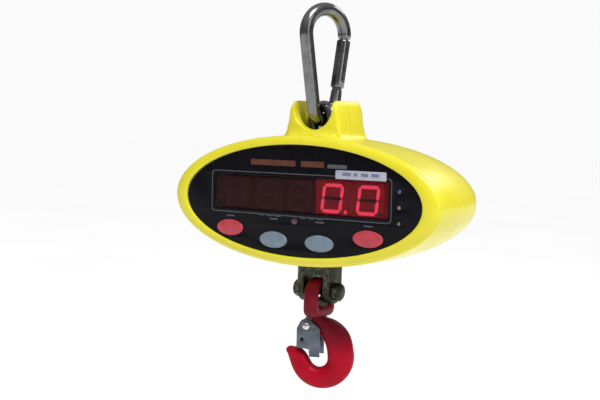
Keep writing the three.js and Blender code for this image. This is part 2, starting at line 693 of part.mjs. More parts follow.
function rearShell() {
  const start = SPLIT_Y + SEAL + 2 * GAP;
  const hollow = cut(rearBlank(), cavity(start - 0.01, BACK_Y - WALL, 5));
  const columns = bossPlaces().map(([x, z]) => along(x, z, start, BACK_Y - 6, 6));
  const towerHalf = tower(start, TOWER.back);
  const well = wellBox().intersect(block([-60, 60], [start, 60], [-200, -50]));
  const doorSeat = plate(doorOutline(GAP), BACK_Y - DOOR.thickness - GAP, BACK_Y + 5, { curveSegments: 6 });
  return cut(
    joined(hollow, towerHalf, well, batteryBox(2), ...columns).intersect(joined(rearBlank(), towerHalf)),
    towerCuts(),
    eyeHole(),
    clevisOpening(),
    batteryBox(0),
    doorSeat,
    block([-8, 8], [20, 40], [BODY_Z + 20, BODY_Z + 24]), // the battery lead's way out
    along(SOCKET.x, BODY_Z, 50, 80, SOCKET.radius + GAP),
    ...bossPlaces().map(([x, z]) => along(x, z, -5, 60, CASE_SCREW.radius + GAP, 12)),
    ...bossPlaces().map(([x, z]) => along(x, z, CASE_SCREW.head, 80, 4.2)),
    ...atDoorScrews((x) => along(x, BODY_Z, 50, 80, DOOR.screwRadius + GAP, 12)),
  );
}

// A rubber strip on each side, from the well at the top to the clevis opening at the bottom.
function caseGasket(side) {
  const y = SPLIT_Y + GAP;
  const slice = (y0, y1) => [[0, y0], [sectionShare(y0), y0], [sectionShare(y0), y1], [0, y1]];
  const ring = cut(
    stacked(slice(y, y + SEAL), HALF_WIDTH - 0.4, HALF_HEIGHT - 0.4),
    stacked(slice(y - 1, y + 3), HALF_WIDTH - WALL, HALF_HEIGHT - WALL),
  );
  const [near, far] = [side * (WELL.halfWidth + 3), side * 200];
  return ring.intersect(block([Math.min(near, far), Math.max(near, far)], [-5, 5], [-260, -50]));
}

// ---------------------------------------------------------------- face

const rowX = (i, count, pitch) => (i - (count - 1) / 2) * pitch;

function buttonPlaces() {
  return BUTTON_NAMES.map((name, i) => {
    const outer = i === 0 || i === BUTTON_NAMES.length - 1;
    const z = BODY_Z + BUTTON.z - (outer ? 0 : BUTTON.drop);
    return { name, x: rowX(i, BUTTON_NAMES.length, BUTTON.pitch), z, outer };
  });
}

function buttonOutline({ x, z }, grow = 0) {
  return ellipse(BUTTON.width / 2 + grow, BUTTON.height / 2 + grow, x, z);
}

function windowBox(grow, y0, y1) {
  const { width, height, z } = WINDOW;
  const outline = roundedRectangle(width / 2 + grow, height / 2 + grow, 1.5, 0, BODY_Z + z);
  return plate(outline, y0, y1, { curveSegments: 4 });
}

function facePanel() {
  const [y0, y1] = [PANEL.front - 5, PANEL.back + 5];
  return cut(
    ovalPlate(PANEL.halfWidth, PANEL.halfHeight, PANEL.front, PANEL.back),
    windowBox(GAP, y0, y1),
    ...buttonPlaces().map((place) => plate(buttonOutline(place, GAP), y0, y1, { curveSegments: 16 })),
    ...lampPlaces().map((z) => along(LAMPS.x, z, y0, y1, LAMPS.radius + GAP, 16)),
    along(RECEIVER.x, BODY_Z + RECEIVER.z, y0, y1, RECEIVER.radius + GAP),
  );
}

function panelGasket() {
  const [y0, y1] = [PANEL.back + GAP, LEDGE.front - GAP];
  return cut(
    ovalPlate(PANEL.halfWidth - 0.5, PANEL.halfHeight - 0.5, y0, y1),
    ovalPlate(LEDGE.halfWidth + 0.3, LEDGE.halfHeight + 0.3, y0 - 1, y1 + 1),
  );
}

// A domed cap with a flange behind the panel and a stem down to its switch.
function buttonBody(place) {
  const { x, z } = place;
  const { proud, travel } = BUTTON;
  const back = PANEL.back + 1;
  const cap = plate(buttonOutline(place), PANEL.front - proud + 1, back, {
    curveSegments: 14, bevelEnabled: true, bevelThickness: 1, bevelSize: 1, bevelOffset: -1, bevelSegments: 2,
  });
  const flange = plate(buttonOutline(place, 0.9), PANEL.back + GAP, PANEL.back + 1.2, { curveSegments: 14 });
  const stem = along(x, z, back, BOARD.front - 2.2 - travel, 1.6, 12);
  return joined(
    cap.intersect(block([-150, 150], [-60, back], [-250, -100])),
    flange.intersect(ovalPlate(LEDGE.halfWidth - GAP, LEDGE.halfHeight - GAP, -60, 0)),
    stem,
  );
}

function switchBody({ x, z }) {
  const top = BOARD.front - GAP;
  const body = block([x - 3, x + 3], [top - 3.8, top], [z - 3, z + 3]);
  return cut(body, along(x, z, top - 9, top - 1.2, 1.6 + GAP, 12));
}

function lampPlaces() {
  return [-1, 0, 1].map((i) => BODY_Z + i * LAMPS.spacing);
}

function indicatorLamps() {
  const [x, z] = [LAMPS.x, BODY_Z];
  const half = LAMPS.spacing + 3;
  const strip = block([x - 3, x + 3], [PANEL.back + 1.2, BOARD.front - GAP], [z - half, z + half]);
  const [y0, y1] = [PANEL.front - 0.4, PANEL.back + 2];
  return joined(strip, ...lampPlaces().map((lamp) => along(x, lamp, y0, y1, LAMPS.radius, 16)));
}

function irReceiver() {
  const [x, z] = [RECEIVER.x, BODY_Z + RECEIVER.z];
  const lens = along(x, z, PANEL.front - 0.4, PANEL.back + 2, RECEIVER.radius, 20);
  return joined(lens, block([x - 4, x + 4], [PANEL.back + 1, BOARD.front - GAP], [z - 4, z + 1.5]));
}

function ledDigit(i) {
  const x = rowX(i, DIGITS.count, DIGITS.pitch);
  const back = BOARD.front - GAP;
  const { width, height, depth } = DIGITS;
  const middle = BODY_Z + WINDOW.z;
  return block(
    [x - width / 2, x + width / 2],
    [back - depth, back],
    [middle - height / 2, middle + height / 2],
  );
}

function displayBoard() {
  const [y0, y1] = [BOARD.front, BOARD.front + BOARD.thickness];
  const tab = ([x, z]) => block([x - 4.5, x + 4.5], [y0, y1], [z - 7, z + 7]);
  return cut(
    joined(
      ovalPlate(BOARD.halfWidth, BOARD.halfHeight, y0, y1),
      ...corners(BOARD_POST.x, BOARD_POST.z - 4).map(tab),
    ),
    ...boardPlaces().map(([x, z]) => along(x, z, y0 - 1, y1 + 1, 1.1 + GAP, 12)),
  );
}

// A slotted screw, with the underside of its head at y and its shank running to -Y.
function screw(x, z, y, length, radius, head) {
  const shank = along(x, z, y - length, y + 0.5, radius, 10);
  const disc = along(x, z, y, y + head, radius * 2.1, 14);
  const halfSlot = radius * 1.6;
  const slot = block([x - halfSlot, x + halfSlot], [y + head * 0.55, y + head + 1], [z - 0.4, z + 0.4]);
  return cut(joined(shank, disc), slot);
}

function capacityLabel() {
  const { x, z, width, height, thickness } = LABEL;
  const back = PANEL.front - GAP;
  return block(
    [x - width / 2, x + width / 2],
    [back - thickness, back],
    [BODY_Z + z - height / 2, BODY_Z + z + height / 2],
  );
}

add("front_shell", frontShell(), "yellow");
add("rear_shell", rearShell(), "yellow");
add("case_gasket_left", caseGasket(-1), "rubber");
add("case_gasket_right", caseGasket(1), "rubber");
add("face_panel", facePanel(), "black");
add("panel_gasket", panelGasket(), "rubber");
add("display_lens", windowBox(0, PANEL.front + 0.4, PANEL.back), "smoke");
add("capacity_label", capacityLabel(), "white");
for (let i = 0; i < DIGITS.count; i++) {
  add("led_digit_" + (i + 1), ledDigit(i), "smoke");
}
buttonPlaces().forEach((place, i) => {
  add(place.name, buttonBody(place), place.outer ? "key_red" : "key_grey");
  add("key_switch_" + (i + 1), switchBody(place), "black");
});
add("indicator_lamps", indicatorLamps(), "clear");
add("ir_receiver", irReceiver(), "clear");
add("display_board", displayBoard(), "board");
boardPlaces().slice(0, 2).forEach(([x, z], i) => {
  add("board_screw_" + (i + 1), screw(x, z, BOARD.front + BOARD.thickness + GAP, 5, 1.1, 1.4), "steel");
});

// ---------------------------------------------------------------- rear fittings

function batteryDoor() {
  const [y0, y1] = [BACK_Y - DOOR.thickness, BACK_Y];
  return cut(
    plate(doorOutline(), y0, y1, { curveSegments: 6 }),
    ...atDoorScrews((x) => along(x, BODY_Z, y0 - 1, y1 + 1, DOOR.screwRadius + GAP, 12)),
    ...atDoorScrews((x) => along(x, BODY_Z, y1 - 1.5, y1 + 1, 2.9, 16)),
  );
}

function battery() {
  const { width, depth, height, back } = BATTERY;
  return block([-width / 2, width / 2], [back - depth, back], [BODY_Z - height / 2, BODY_Z + height / 2]);
}

function chargerSocket() {
  const { x, radius, bore, flange, flangeThick } = SOCKET;
  const inner = BACK_Y - WALL;
  return cut(
    joined(
      along(x, BODY_Z, 50, BACK_Y + 1, radius),
      along(x, BODY_Z, BACK_Y + GAP, BACK_Y + flangeThick, flange),
      along(x, BODY_Z, inner - 3, inner - GAP, 8, 6),
    ),
    along(x, BODY_Z, 56, 80, bore),
  );
}

// Its hinge is the strap's fold, along X below the socket.
function socketCap() {
  const { x, flange, flangeThick } = SOCKET;
  const y = BACK_Y + flangeThick + GAP;
  const strap = block([x - 2.5, x + 2.5], [y, y + 1.2], [BODY_Z - 12, BODY_Z - 5]);
  return joined(along(x, BODY_Z, y, y + 2, flange + 0.4), strap);
}

// It stands off the display board on four pins.
function amplifierBoard() {
  const [y, backOfBoard] = [-14, BOARD.front + BOARD.thickness];
  const pin = (x, z) => along(x, z, backOfBoard + GAP, y + 0.5, 2.2, 6);
  return joined(
    block([34, 90], [y, y + 1.6], [BODY_Z - 20, BODY_Z + 20]),
    block([44, 60], [y - 2.5, y + 1], [BODY_Z - 8, BODY_Z + 8]),
    ...[-15, 15].flatMap((z) => [pin(38, BODY_Z + z), pin(86, BODY_Z + z)]),
  );
}

function lead(points, radius, steps) {
  const curve = new THREE.CatmullRomCurve3(points.map((p) => new THREE.Vector3(...p)));
  return wire(curve, radius, steps);
}

add("battery", battery(), "black");
add("battery_door", batteryDoor(), "yellow");
add("charger_socket", chargerSocket(), "black");
add("socket_cap", socketCap(), "rubber");
add("amplifier_board", amplifierBoard(), "board");
add("load_cell_cable", lead(CELL_CABLE, 1.6, 14), "rubber");
add("battery_lead", lead(BATTERY_LEAD, 1.4, 16), "rubber");
bossPlaces().forEach(([x, z], i) => {
  const { head, reach, radius } = CASE_SCREW;
  add("case_screw_" + (i + 1), screw(x, z, head + GAP, head - reach, radius, 2.6), "steel");
});
atDoorScrews((x) => screw(x, BODY_Z, BACK_Y - 1.5 + GAP, 6, DOOR.screwRadius, 1.1)).forEach((body, i) => {
  add("door_screw_" + (i + 1), body, "steel");
});

export default crane_scale;
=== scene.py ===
"""A hanging crane scale with a snap hook, an oval yellow housing, a red LED display and a swivel hook.

Shapes are worked out in millimetres in the CAD frame, with +Z up and the display facing -Y, and piece()
scales them to metres.
"""

from math import asin, cos, degrees, hypot, pi, radians, sin, sqrt

import bmesh
import bpy
from mathutils import Matrix, Quaternion, Vector


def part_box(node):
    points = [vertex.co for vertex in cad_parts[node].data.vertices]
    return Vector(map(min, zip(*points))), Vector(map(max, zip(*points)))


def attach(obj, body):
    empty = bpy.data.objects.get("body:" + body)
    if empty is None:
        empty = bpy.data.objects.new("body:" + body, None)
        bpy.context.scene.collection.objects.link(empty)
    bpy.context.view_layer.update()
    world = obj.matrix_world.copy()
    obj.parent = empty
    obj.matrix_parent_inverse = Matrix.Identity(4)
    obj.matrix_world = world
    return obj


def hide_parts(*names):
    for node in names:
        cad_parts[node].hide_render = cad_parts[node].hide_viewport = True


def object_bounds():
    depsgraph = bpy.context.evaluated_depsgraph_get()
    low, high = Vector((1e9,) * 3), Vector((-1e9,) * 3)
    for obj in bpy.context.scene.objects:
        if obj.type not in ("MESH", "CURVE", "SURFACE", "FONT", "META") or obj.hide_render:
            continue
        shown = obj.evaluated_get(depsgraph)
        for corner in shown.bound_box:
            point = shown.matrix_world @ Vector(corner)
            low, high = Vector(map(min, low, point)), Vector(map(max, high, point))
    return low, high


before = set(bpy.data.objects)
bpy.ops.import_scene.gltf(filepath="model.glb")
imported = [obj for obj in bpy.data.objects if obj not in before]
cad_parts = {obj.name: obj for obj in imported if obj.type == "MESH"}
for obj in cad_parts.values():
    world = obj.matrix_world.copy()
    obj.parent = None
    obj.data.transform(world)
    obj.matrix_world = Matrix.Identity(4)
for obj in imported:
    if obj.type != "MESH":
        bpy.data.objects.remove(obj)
cad_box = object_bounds()

MM = 0.001

# ---------------------------------------------------------------- frame dimensions, in millimetres


def box(node):
    low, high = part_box(node)
    return low / MM, high / MM


def middle(node):
    low, high = box(node)
    return (low + high) / 2


def half_size(node):
    low, high = box(node)
    return (high - low) / 2


SHELL_LOW, SHELL_HIGH = box("front_shell")
PANEL_LOW, PANEL_HIGH = box("face_panel")
LENS_LOW, LENS_HIGH = box("display_lens")
BODY_Z = middle("face_panel").z

# Housing
HALF_WIDTH = 126.0
HALF_HEIGHT = 52.0
FRONT_Y, BACK_Y = SHELL_LOW.y, box("rear_shell")[1].y
SPLIT_FRONT, SPLIT_REAR = 0.5, 0.9
SEAT_FRONT, SEAT_REAR = 0.15, 1.25
WALL = 3.0
LIP = 1.0
RIM_DEPTH = 5.0
ROUND_FROM, BACK_SHARE, FLARE = 0.26, 0.75, 0.02
PANEL_GAP = 0.3
LEDGE = (110.0, 42.4, -32.3, -29.0)

# Tower, measured from the middle of the housing
TOWER_FRONT, TOWER_BACK = -17.0, 25.0
TOWER_TOP = SHELL_HIGH.z - BODY_Z
TOWER_FOOT_HALF, TOWER_FOOT_Z, TOWER_TAPER = 27.0, 45.0, 1 / 9
TOWER_CORNER, TOWER_EDGE, TOWER_FILLET = 9.0, 8.0, 6.0
WELL_ROOF, WELL_HALF = 41.0, 22.0
NOTCH_RADIUS, NOTCH_Z = 18.0, -75.4
WELL = (19.0, 9.5, -106.0)

# ---------------------------------------------------------------- scene helpers and camera


def add_object(name, data):
    made = bpy.data.objects.new(name, data)
    bpy.context.scene.collection.objects.link(made)
    return made


def look_along(item, direction, roll=0.0):
    """Turns a camera or a light to face along a direction."""
    item.rotation_mode = "QUATERNION"
    item.rotation_quaternion = direction.to_track_quat("-Z", "Y") @ Quaternion((0, 0, 1), roll)


CAMERA_TARGET = Vector((0, 0, -0.1336))
CAMERA_AZIMUTH, CAMERA_ELEVATION, CAMERA_ROLL = radians(32.8), radians(2.73), radians(1.385)
CAMERA_DISTANCE = 0.873


def make_camera():
    data = bpy.data.cameras.new("camera")
    data.lens = 63.8
    data.sensor_width = 36
    data.shift_x = -0.0369
    data.shift_y = -0.0347
    camera = add_object("camera", data)
    back = Vector((
        sin(CAMERA_AZIMUTH) * cos(CAMERA_ELEVATION),
        -cos(CAMERA_AZIMUTH) * cos(CAMERA_ELEVATION),
        sin(CAMERA_ELEVATION),
    ))
    camera.location = CAMERA_TARGET + back * CAMERA_DISTANCE
    look_along(camera, -back, CAMERA_ROLL)
    bpy.context.scene.camera = camera


make_camera()

# ---------------------------------------------------------------- materials


def set_inputs(tree, node, **values):
    """Sets a node's inputs to values or links them to outputs. An underscore stands for a space."""
    for name, value in values.items():
        socket = node.inputs[name.replace("_", " ")]
        if isinstance(value, bpy.types.NodeSocket):
            tree.links.new(value, socket)
        else:
            socket.default_value = value


def add_node(tree, kind, **values):
    node = tree.nodes.new("ShaderNode" + kind)
    set_inputs(tree, node, **values)
    return node


def noise(tree, coordinates, scale, detail=3.0):
    return add_node(tree, "TexNoise", Vector=coordinates, Scale=scale, Detail=detail).outputs["Fac"]


def mapped(tree, value, from_low, from_high, to_low, to_high):
    limits = {"From Min": from_low, "From Max": from_high, "To Min": to_low, "To Max": to_high}
    return add_node(tree, "MapRange", Value=value, **limits).outputs["Result"]


def mixed(tree, factor, first, second):
    """A colour between two, each either an RGB triple or another node's output."""
    node = tree.nodes.new("ShaderNodeMix")
    node.data_type = "RGBA"
    tree.links.new(factor, node.inputs["Factor"])
    for socket, colour in (("A", first), ("B", second)):
        target = next(s for s in node.inputs if s.name == socket and s.type == "RGBA")
        if isinstance(colour, tuple):
            target.default_value = (*colour, 1)
        else:
            tree.links.new(colour, target)
    return next(s for s in node.outputs if s.type == "RGBA")


def bumped(tree, height, distance):
    return add_node(tree, "Bump", Height=height, Distance=distance).outputs["Normal"]


def new_material(name, stretch=(1, 1, 1)):
    made = bpy.data.materials.new(name)
    made.use_nodes = True
    tree = made.node_tree
    coordinates = tree.nodes.new("ShaderNodeTexCoord").outputs["Object"]
    if stretch != (1, 1, 1):
        coordinates = add_node(tree, "Mapping", Vector=coordinates, Scale=stretch).outputs["Vector"]
    return made, tree, tree.nodes["Principled BSDF"], coordinates


def finish(name, colour, shade, roughness, mottle, spread=0.08, grain=1500, depth=0.00003,
           wear_and_painted_light=None, painted_top_shade=None, stretch=(1, 1, 1), **sockets):
    """A procedural finish: mottled colour, uneven gloss and a fine grain, with a tint by pointiness (edge
    wear on some finishes, a painted highlight on others) and a painted shade darker towards the top in z.

    Mottle and grain are noise scales, and depth is the grain's depth in metres.
    """
    made, tree, shader, coordinates = new_material(name, stretch)
    darker = shade or tuple(0.8 * c for c in colour)
    blotches = mapped(tree, noise(tree, coordinates, mottle), 0.35, 0.65, 0, 1)
    base = mixed(tree, blotches, colour, darker)
    # Painted shade: the base colour darkens towards the given shade colour up the given z range.
    if painted_top_shade:
        top_shade_colour, low, high = painted_top_shade
        rise = add_node(tree, "SeparateXYZ", Vector=coordinates).outputs["Z"]
        base = mixed(tree, mapped(tree, rise, low, high, 0, 1), base, top_shade_colour)
    # A tint by pointiness: edge wear on some finishes, a painted highlight on sharp edges on others.
    if wear_and_painted_light:
        edge_colour, low, high = wear_and_painted_light
        sharpness = tree.nodes.new("ShaderNodeNewGeometry").outputs["Pointiness"]
        edge_mask = mapped(tree, sharpness, low, high, 0, 1)
        broken = tree.nodes.new("ShaderNodeMath")
        broken.operation = "MULTIPLY"
        tree.links.new(edge_mask, broken.inputs[0])
        tree.links.new(mapped(tree, noise(tree, coordinates, 380, 5), 0.42, 0.62, 0, 1), broken.inputs[1])
        base = mixed(tree, broken.outputs[0], base, edge_colour)
    unevenness = noise(tree, coordinates, mottle * 2.5, 4)
    gloss = mapped(tree, unevenness, 0.3, 0.7, roughness - spread, roughness + spread)
    normal = bumped(tree, noise(tree, coordinates, grain, 2), depth)
    set_inputs(tree, shader, Base_Color=base, Roughness=gloss, Normal=normal, **sockets)
    return made


def make_materials():
    return {
        # The lighter yellow tint on sharp edges is a painted highlight.
        "yellow": finish("moulded_yellow", (0.82, 0.74, 0.022), (0.76, 0.67, 0.016), 0.33, 14, 0.06,
                         900, 0.00004, wear_and_painted_light=((0.92, 0.86, 0.16), 0.54, 0.62), Coat_Weight=0.3,
                         Coat_Roughness=0.2),
        "panel": finish("gloss_black", (0.0030, 0.0032, 0.0058), (0.0050, 0.0048, 0.0070), 0.28, 30,
                        0.05, 1200, 0.000012, Coat_Weight=0.03, Coat_Roughness=0.12,
                        Specular_IOR_Level=0.1),
        "lens": finish("smoked_red_filter", (0.035, 0.003, 0.005), (0.026, 0.002, 0.004), 0.1, 40,
                       0.02, 300, 0.000002, Alpha=0.38, Coat_Weight=0.05, Coat_Roughness=0.05,
                       Specular_IOR_Level=0.15),
        # The zinc takes a darker, warmer grey in its hollows.
        "bright": finish("polished_zinc", (0.24, 0.24, 0.245), (0.16, 0.16, 0.165), 0.2, 90, 0.07, 700,
                         wear_and_painted_light=((0.20, 0.19, 0.18), 0.46, 0.40), Metallic=1.0),
        "polished": finish("polished_rivet", (0.75, 0.74, 0.72), (0.6, 0.6, 0.58), 0.2, 300, 0.05,
                           1200, 0.00001, Metallic=1.0),
        "steel": finish("turned_steel", (0.36, 0.36, 0.36), (0.24, 0.24, 0.235), 0.33, 70, 0.1, 900,
                        stretch=(1, 1, 4), Metallic=1.0),
        "dark_steel": finish("blackened_steel", (0.040, 0.038, 0.026), (0.026, 0.025, 0.017), 0.36, 90,
                             0.04, 900, 0.00004, wear_and_painted_light=((0.22, 0.22, 0.19), 0.54, 0.64), Metallic=0.9),
        # The zinc sheet turns a lighter grey on its sharp edges.
        "latch": finish("zinc_sheet", (0.150, 0.172, 0.205), (0.095, 0.112, 0.135), 0.33, 120, 0.1,
                        1100, wear_and_painted_light=((0.5, 0.5, 0.5), 0.54, 0.62), Metallic=1.0),
        # The darker brown on sharp edges is chipped paint; the darker red towards the top of the hook is
        # painted shade.
        "red": finish("painted_red", (0.46, 0.0010, 0.020), (0.34, 0.0006, 0.014), 0.4, 45, grain=420,
                      depth=0.00014, wear_and_painted_light=((0.16, 0.03, 0.03), 0.56, 0.66),
                      painted_top_shade=((0.13, 0.0006, 0.011), -0.279, -0.256), Specular_IOR_Level=0.14),
        # A darker copy of the hook's red paint for the bail: painted shade, not a second paint colour.
        "shaded_red": finish("red_in_painted_shade", (0.24, 0.0015, 0.018), (0.15, 0.001, 0.012), 0.4, 60,
                         grain=420, depth=0.00014, wear_and_painted_light=((0.10, 0.03, 0.03), 0.56, 0.66),
                         Specular_IOR_Level=0.2),
        "key_red": finish("key_red_rubber", (0.52, 0.045, 0.07), (0.44, 0.03, 0.05), 0.42, 160,
                          grain=2600, depth=0.00002, Coat_Weight=0.15),
        "key_grey": finish("key_grey_rubber", (0.18, 0.24, 0.30), (0.14, 0.19, 0.245), 0.42, 160,
                           grain=2600, depth=0.00002, Coat_Weight=0.15),
        "rubber": finish("black_rubber", (0.018, 0.018, 0.019), (0.030, 0.029, 0.028), 0.7, 200,
                         grain=2200, depth=0.00005),
        "black": finish("black_plastic", (0.02, 0.02, 0.022), (0.03, 0.03, 0.031), 0.45, 150,
                        grain=2400, depth=0.00004),
        "board": circuit_board(),
        "label": finish("label_film", (0.44, 0.45, 0.54), (0.37, 0.38, 0.46), 0.36, 220, grain=2000,
                        depth=0.00001, Coat_Weight=0.2),
        "ink": finish("label_ink", (0.12, 0.14, 0.24), (0.18, 0.2, 0.3), 0.4, 300, depth=0.000004),
        "title": finish("title_print", (0.115, 0.022, 0.006), (0.075, 0.013, 0.005), 0.45, 140,
                        depth=0.000006),
        "line": finish("grey_print", (0.085, 0.092, 0.10), (0.055, 0.06, 0.066), 0.4, 140,
                       depth=0.000006),
        "unlit": finish("unlit_segment", (0.032, 0.007, 0.008), (0.028, 0.006, 0.007), 0.5, 90,
                        grain=500, depth=0.000004),
        "module": finish("led_module", (0.022, 0.0045, 0.0055), (0.018, 0.004, 0.005), 0.6, 60,
                         grain=500, depth=0.000004, Specular_IOR_Level=0.2),
        "lit": glowing("lit_segment", (1.0, 0.055, 0.115), 2.1, 500),
        "glow": glowing("lit_module", (0.60, 0.0, 0.012), 0.36, 60),
        "battery": finish("battery_case", (0.035, 0.036, 0.04), (0.05, 0.05, 0.052), 0.4, 90,
                          grain=1800, depth=0.00004),
        "lamp_blue": finish("lamp_blue", (0.10, 0.06, 0.30), None, 0.2, 400, Coat_Weight=0.5),
        "lamp_green": finish("lamp_green", (0.06, 0.14, 0.05), None, 0.2, 400, Coat_Weight=0.5),
        "lamp_amber": finish("lamp_amber", (0.30, 0.16, 0.05), None, 0.2, 400, Coat_Weight=0.5),
        "receiver": finish("receiver_window", (0.05, 0.02, 0.03), None, 0.12, 400, Coat_Weight=0.6),
    }


def glowing(name, colour, strength, scale):
    """Red light through diffusing plastic, a little uneven."""
    made, tree, shader, coordinates = new_material(name)
    patches = mapped(tree, noise(tree, coordinates, scale), 0.3, 0.7, 0, 1)
    light = mixed(tree, patches, colour, tuple(0.82 * c for c in colour))
    base = mixed(tree, patches, (0.3, 0.01, 0.02), (0.2, 0.006, 0.012))
    gloss = mapped(tree, patches, 0, 1, 0.35, 0.5)
    set_inputs(tree, shader, Emission_Color=light, Emission_Strength=strength, Base_Color=base,
               Roughness=gloss)
    return made


def circuit_board():
    """Green solder mask over raised copper tracks."""
    made, tree, shader, coordinates = new_material("circuit_board")
    tracks = add_node(tree, "TexVoronoi", Vector=coordinates, Scale=260)
    tracks.distance = "CHEBYCHEV"
    tracks.feature = "F1"
    raised = mapped(tree, tracks.outputs["Distance"], 0.42, 0.46, 0, 1)
    mask = mixed(tree, raised, (0.012, 0.11, 0.04), (0.03, 0.20, 0.07))
    gloss = mapped(tree, noise(tree, coordinates, 500), 0.3, 0.7, 0.3, 0.45)
    normal = bumped(tree, raised, 0.00004)
    set_inputs(tree, shader, Base_Color=mask, Roughness=gloss, Normal=normal, Coat_Weight=0.3)
    return made


MATERIALS = make_materials()

# ---------------------------------------------------------------- mesh helpers, in millimetres


def loft(rings, closed=False):
    """A skin through rings of equal point counts, closed on itself or with its two ends capped."""
    shape = bmesh.new()
    rows = [[shape.verts.new(point) for point in ring] for ring in rings]
    count = len(rows[0])
    for i in range(len(rows) if closed else len(rows) - 1):
        near, far = rows[i], rows[(i + 1) % len(rows)]
        for j in range(count):
            k = (j + 1) % count
            shape.faces.new((near[j], near[k], far[k], far[j]))
    if not closed:
        shape.faces.new(rows[0])
        shape.faces.new(rows[-1])
    bmesh.ops.recalc_face_normals(shape, faces=shape.faces)
    return shape


def full_turn(count):
    return [2 * pi * i / count for i in range(count)]


def circle(centre, across, other, radius, sides):
    return [centre + (across * cos(a) + other * sin(a)) * radius for a in full_turn(sides)]


def axes(direction):
    """Unit vectors along a direction and two ways across it."""
    along = Vector(direction).normalized()
    across = along.orthogonal().normalized()
    return along, across, along.cross(across)


def turned(profile, origin, direction, sides=48):
    """A lathe shape: (radius, distance) pairs along an axis."""
    along, across, other = axes(direction)
    return loft([circle(Vector(origin) + along * distance, across, other, radius, sides)
                 for radius, distance in profile])


def sweep(points, radius, sides=20, closed=False):
    """A round bar along a path. The radius is one number or one for each point."""
    points = [Vector(p) for p in points]
    count = len(points)
    radii = radius if isinstance(radius, list) else [radius] * count
    rings = []
    across = None
    for i, point in enumerate(points):
        before = points[i - 1] if i or closed else point
        after = points[(i + 1) % count] if i < count - 1 or closed else point
        tangent = (after - before).normalized()
        start = tangent.orthogonal() if across is None else across
        across = (start - tangent * start.dot(tangent)).normalized()
        rings.append(circle(point, across, tangent.cross(across), radii[i], sides))
    return loft(rings, closed)


def evaluated(holder):
    """An object's final mesh, with its curve settings or modifiers applied."""
    ready = holder.evaluated_get(bpy.context.evaluated_depsgraph_get())
    shape = bmesh.new()
    shape.from_mesh(ready.to_mesh())
    ready.to_mesh_clear()
    return shape


def outline_solid(outlines, low, high, edge=0.0, segments=3, axis="y"):
    """Flat outlines, the inner ones as holes, given a thickness along an axis and rounded edges."""
    curve = bpy.data.curves.new("outline", "CURVE")
    curve.dimensions = "2D"
    curve.fill_mode = "BOTH"
    curve.extrude = (high - low) / 2 - edge
    curve.bevel_depth = edge
    curve.bevel_resolution = segments
    curve.offset = -edge
    for outline in outlines:
        spline = curve.splines.new("POLY")
        spline.points.add(len(outline) - 1)
        spline.use_cyclic_u = True
        for target, (u, v) in zip(spline.points, outline):
            target.co = (u, v, 0, 1)
    holder = add_object("outline", curve)
    shape = evaluated(holder)
    bpy.data.objects.remove(holder)
    bpy.data.curves.remove(curve)
    bmesh.ops.remove_doubles(shape, verts=shape.verts, dist=0.002)
    bmesh.ops.dissolve_degenerate(shape, edges=shape.edges, dist=0.0005)
    centre = (low + high) / 2
    for vert in shape.verts:
        u, v, w = vert.co
        vert.co = {"x": (centre + w, u, v), "y": (u, centre + w, v), "z": (u, v, centre + w)}[axis]
    bmesh.ops.recalc_face_normals(shape, faces=shape.faces)
    return shape


def boolean(base, tool, operation="DIFFERENCE"):
    """base with tool cut away, or joined to it. Both are used up."""
    holders = []
    for shape in (base, tool):
        mesh = bpy.data.meshes.new("boolean")
        shape.to_mesh(mesh)
        shape.free()
        holders.append(add_object("boolean", mesh))
    modifier = holders[0].modifiers.new("boolean", "BOOLEAN")
    modifier.operation = operation
    modifier.solver = "MANIFOLD"
    modifier.object = holders[1]
    made = evaluated(holders[0])
    for holder in holders:
        mesh = holder.data
        bpy.data.objects.remove(holder)
        bpy.data.meshes.remove(mesh)
    return made


def joined(base, other):
    return boolean(base, other, "UNION")


def turn(shape, angle, axis="Z", centre=(0, 0, 0)):
    bmesh.ops.rotate(shape, verts=shape.verts, cent=Vector(centre), matrix=Matrix.Rotation(angle, 3, axis))
    return shape


def piece(name, shape, material, body, *nodes, slot=None, crease=38):
    """Makes the finished object in metres, on its body and in place of its CAD nodes."""
    for vert in shape.verts:
        vert.co = vert.co * MM
    mesh = bpy.data.meshes.new(name)
    shape.to_mesh(mesh)
    shape.free()
    mesh.materials.append(MATERIALS[material])
    for face in mesh.polygons:
        face.use_smooth = True
    mesh.set_sharp_from_angle(angle=radians(crease))
    made = add_object(name, mesh)
    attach(made, body)
    if nodes:
        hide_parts(*nodes)
    return made


# ---------------------------------------------------------------- outlines in x and z


def arc(x, z, radius, start, end, count=12):
    """Points on an arc, angles in degrees."""
    angles = [radians(start + (end - start) * i / count) for i in range(count + 1)]
    return [(x + radius * cos(a), z + radius * sin(a)) for a in angles]


def oval(half_width, half_height, x=0.0, z=0.0, count=96):
    return [(x + half_width * cos(a), z + half_height * sin(a)) for a in full_turn(count)]


def rounded_rectangle(half_width, half_height, corner, x=0.0, z=0.0, count=6):
    w, h = half_width - corner, half_height - corner
    places = ((w, h, 0), (-w, h, 90), (-w, -h, 180), (w, -h, 270))
    return [p for u, v, start in places for p in arc(x + u, z + v, corner, start, start + 90, count)]


def bezier(p0, p1, p2, p3, count=12):
    made = []
    for i in range(count + 1):
        t = i / count
        weights = ((1 - t) ** 3, 3 * t * (1 - t) ** 2, 3 * t * t * (1 - t), t ** 3)
        made.append(tuple(sum(w * p[k] for w, p in zip(weights, (p0, p1, p2, p3))) for k in (0, 1)))
    return made


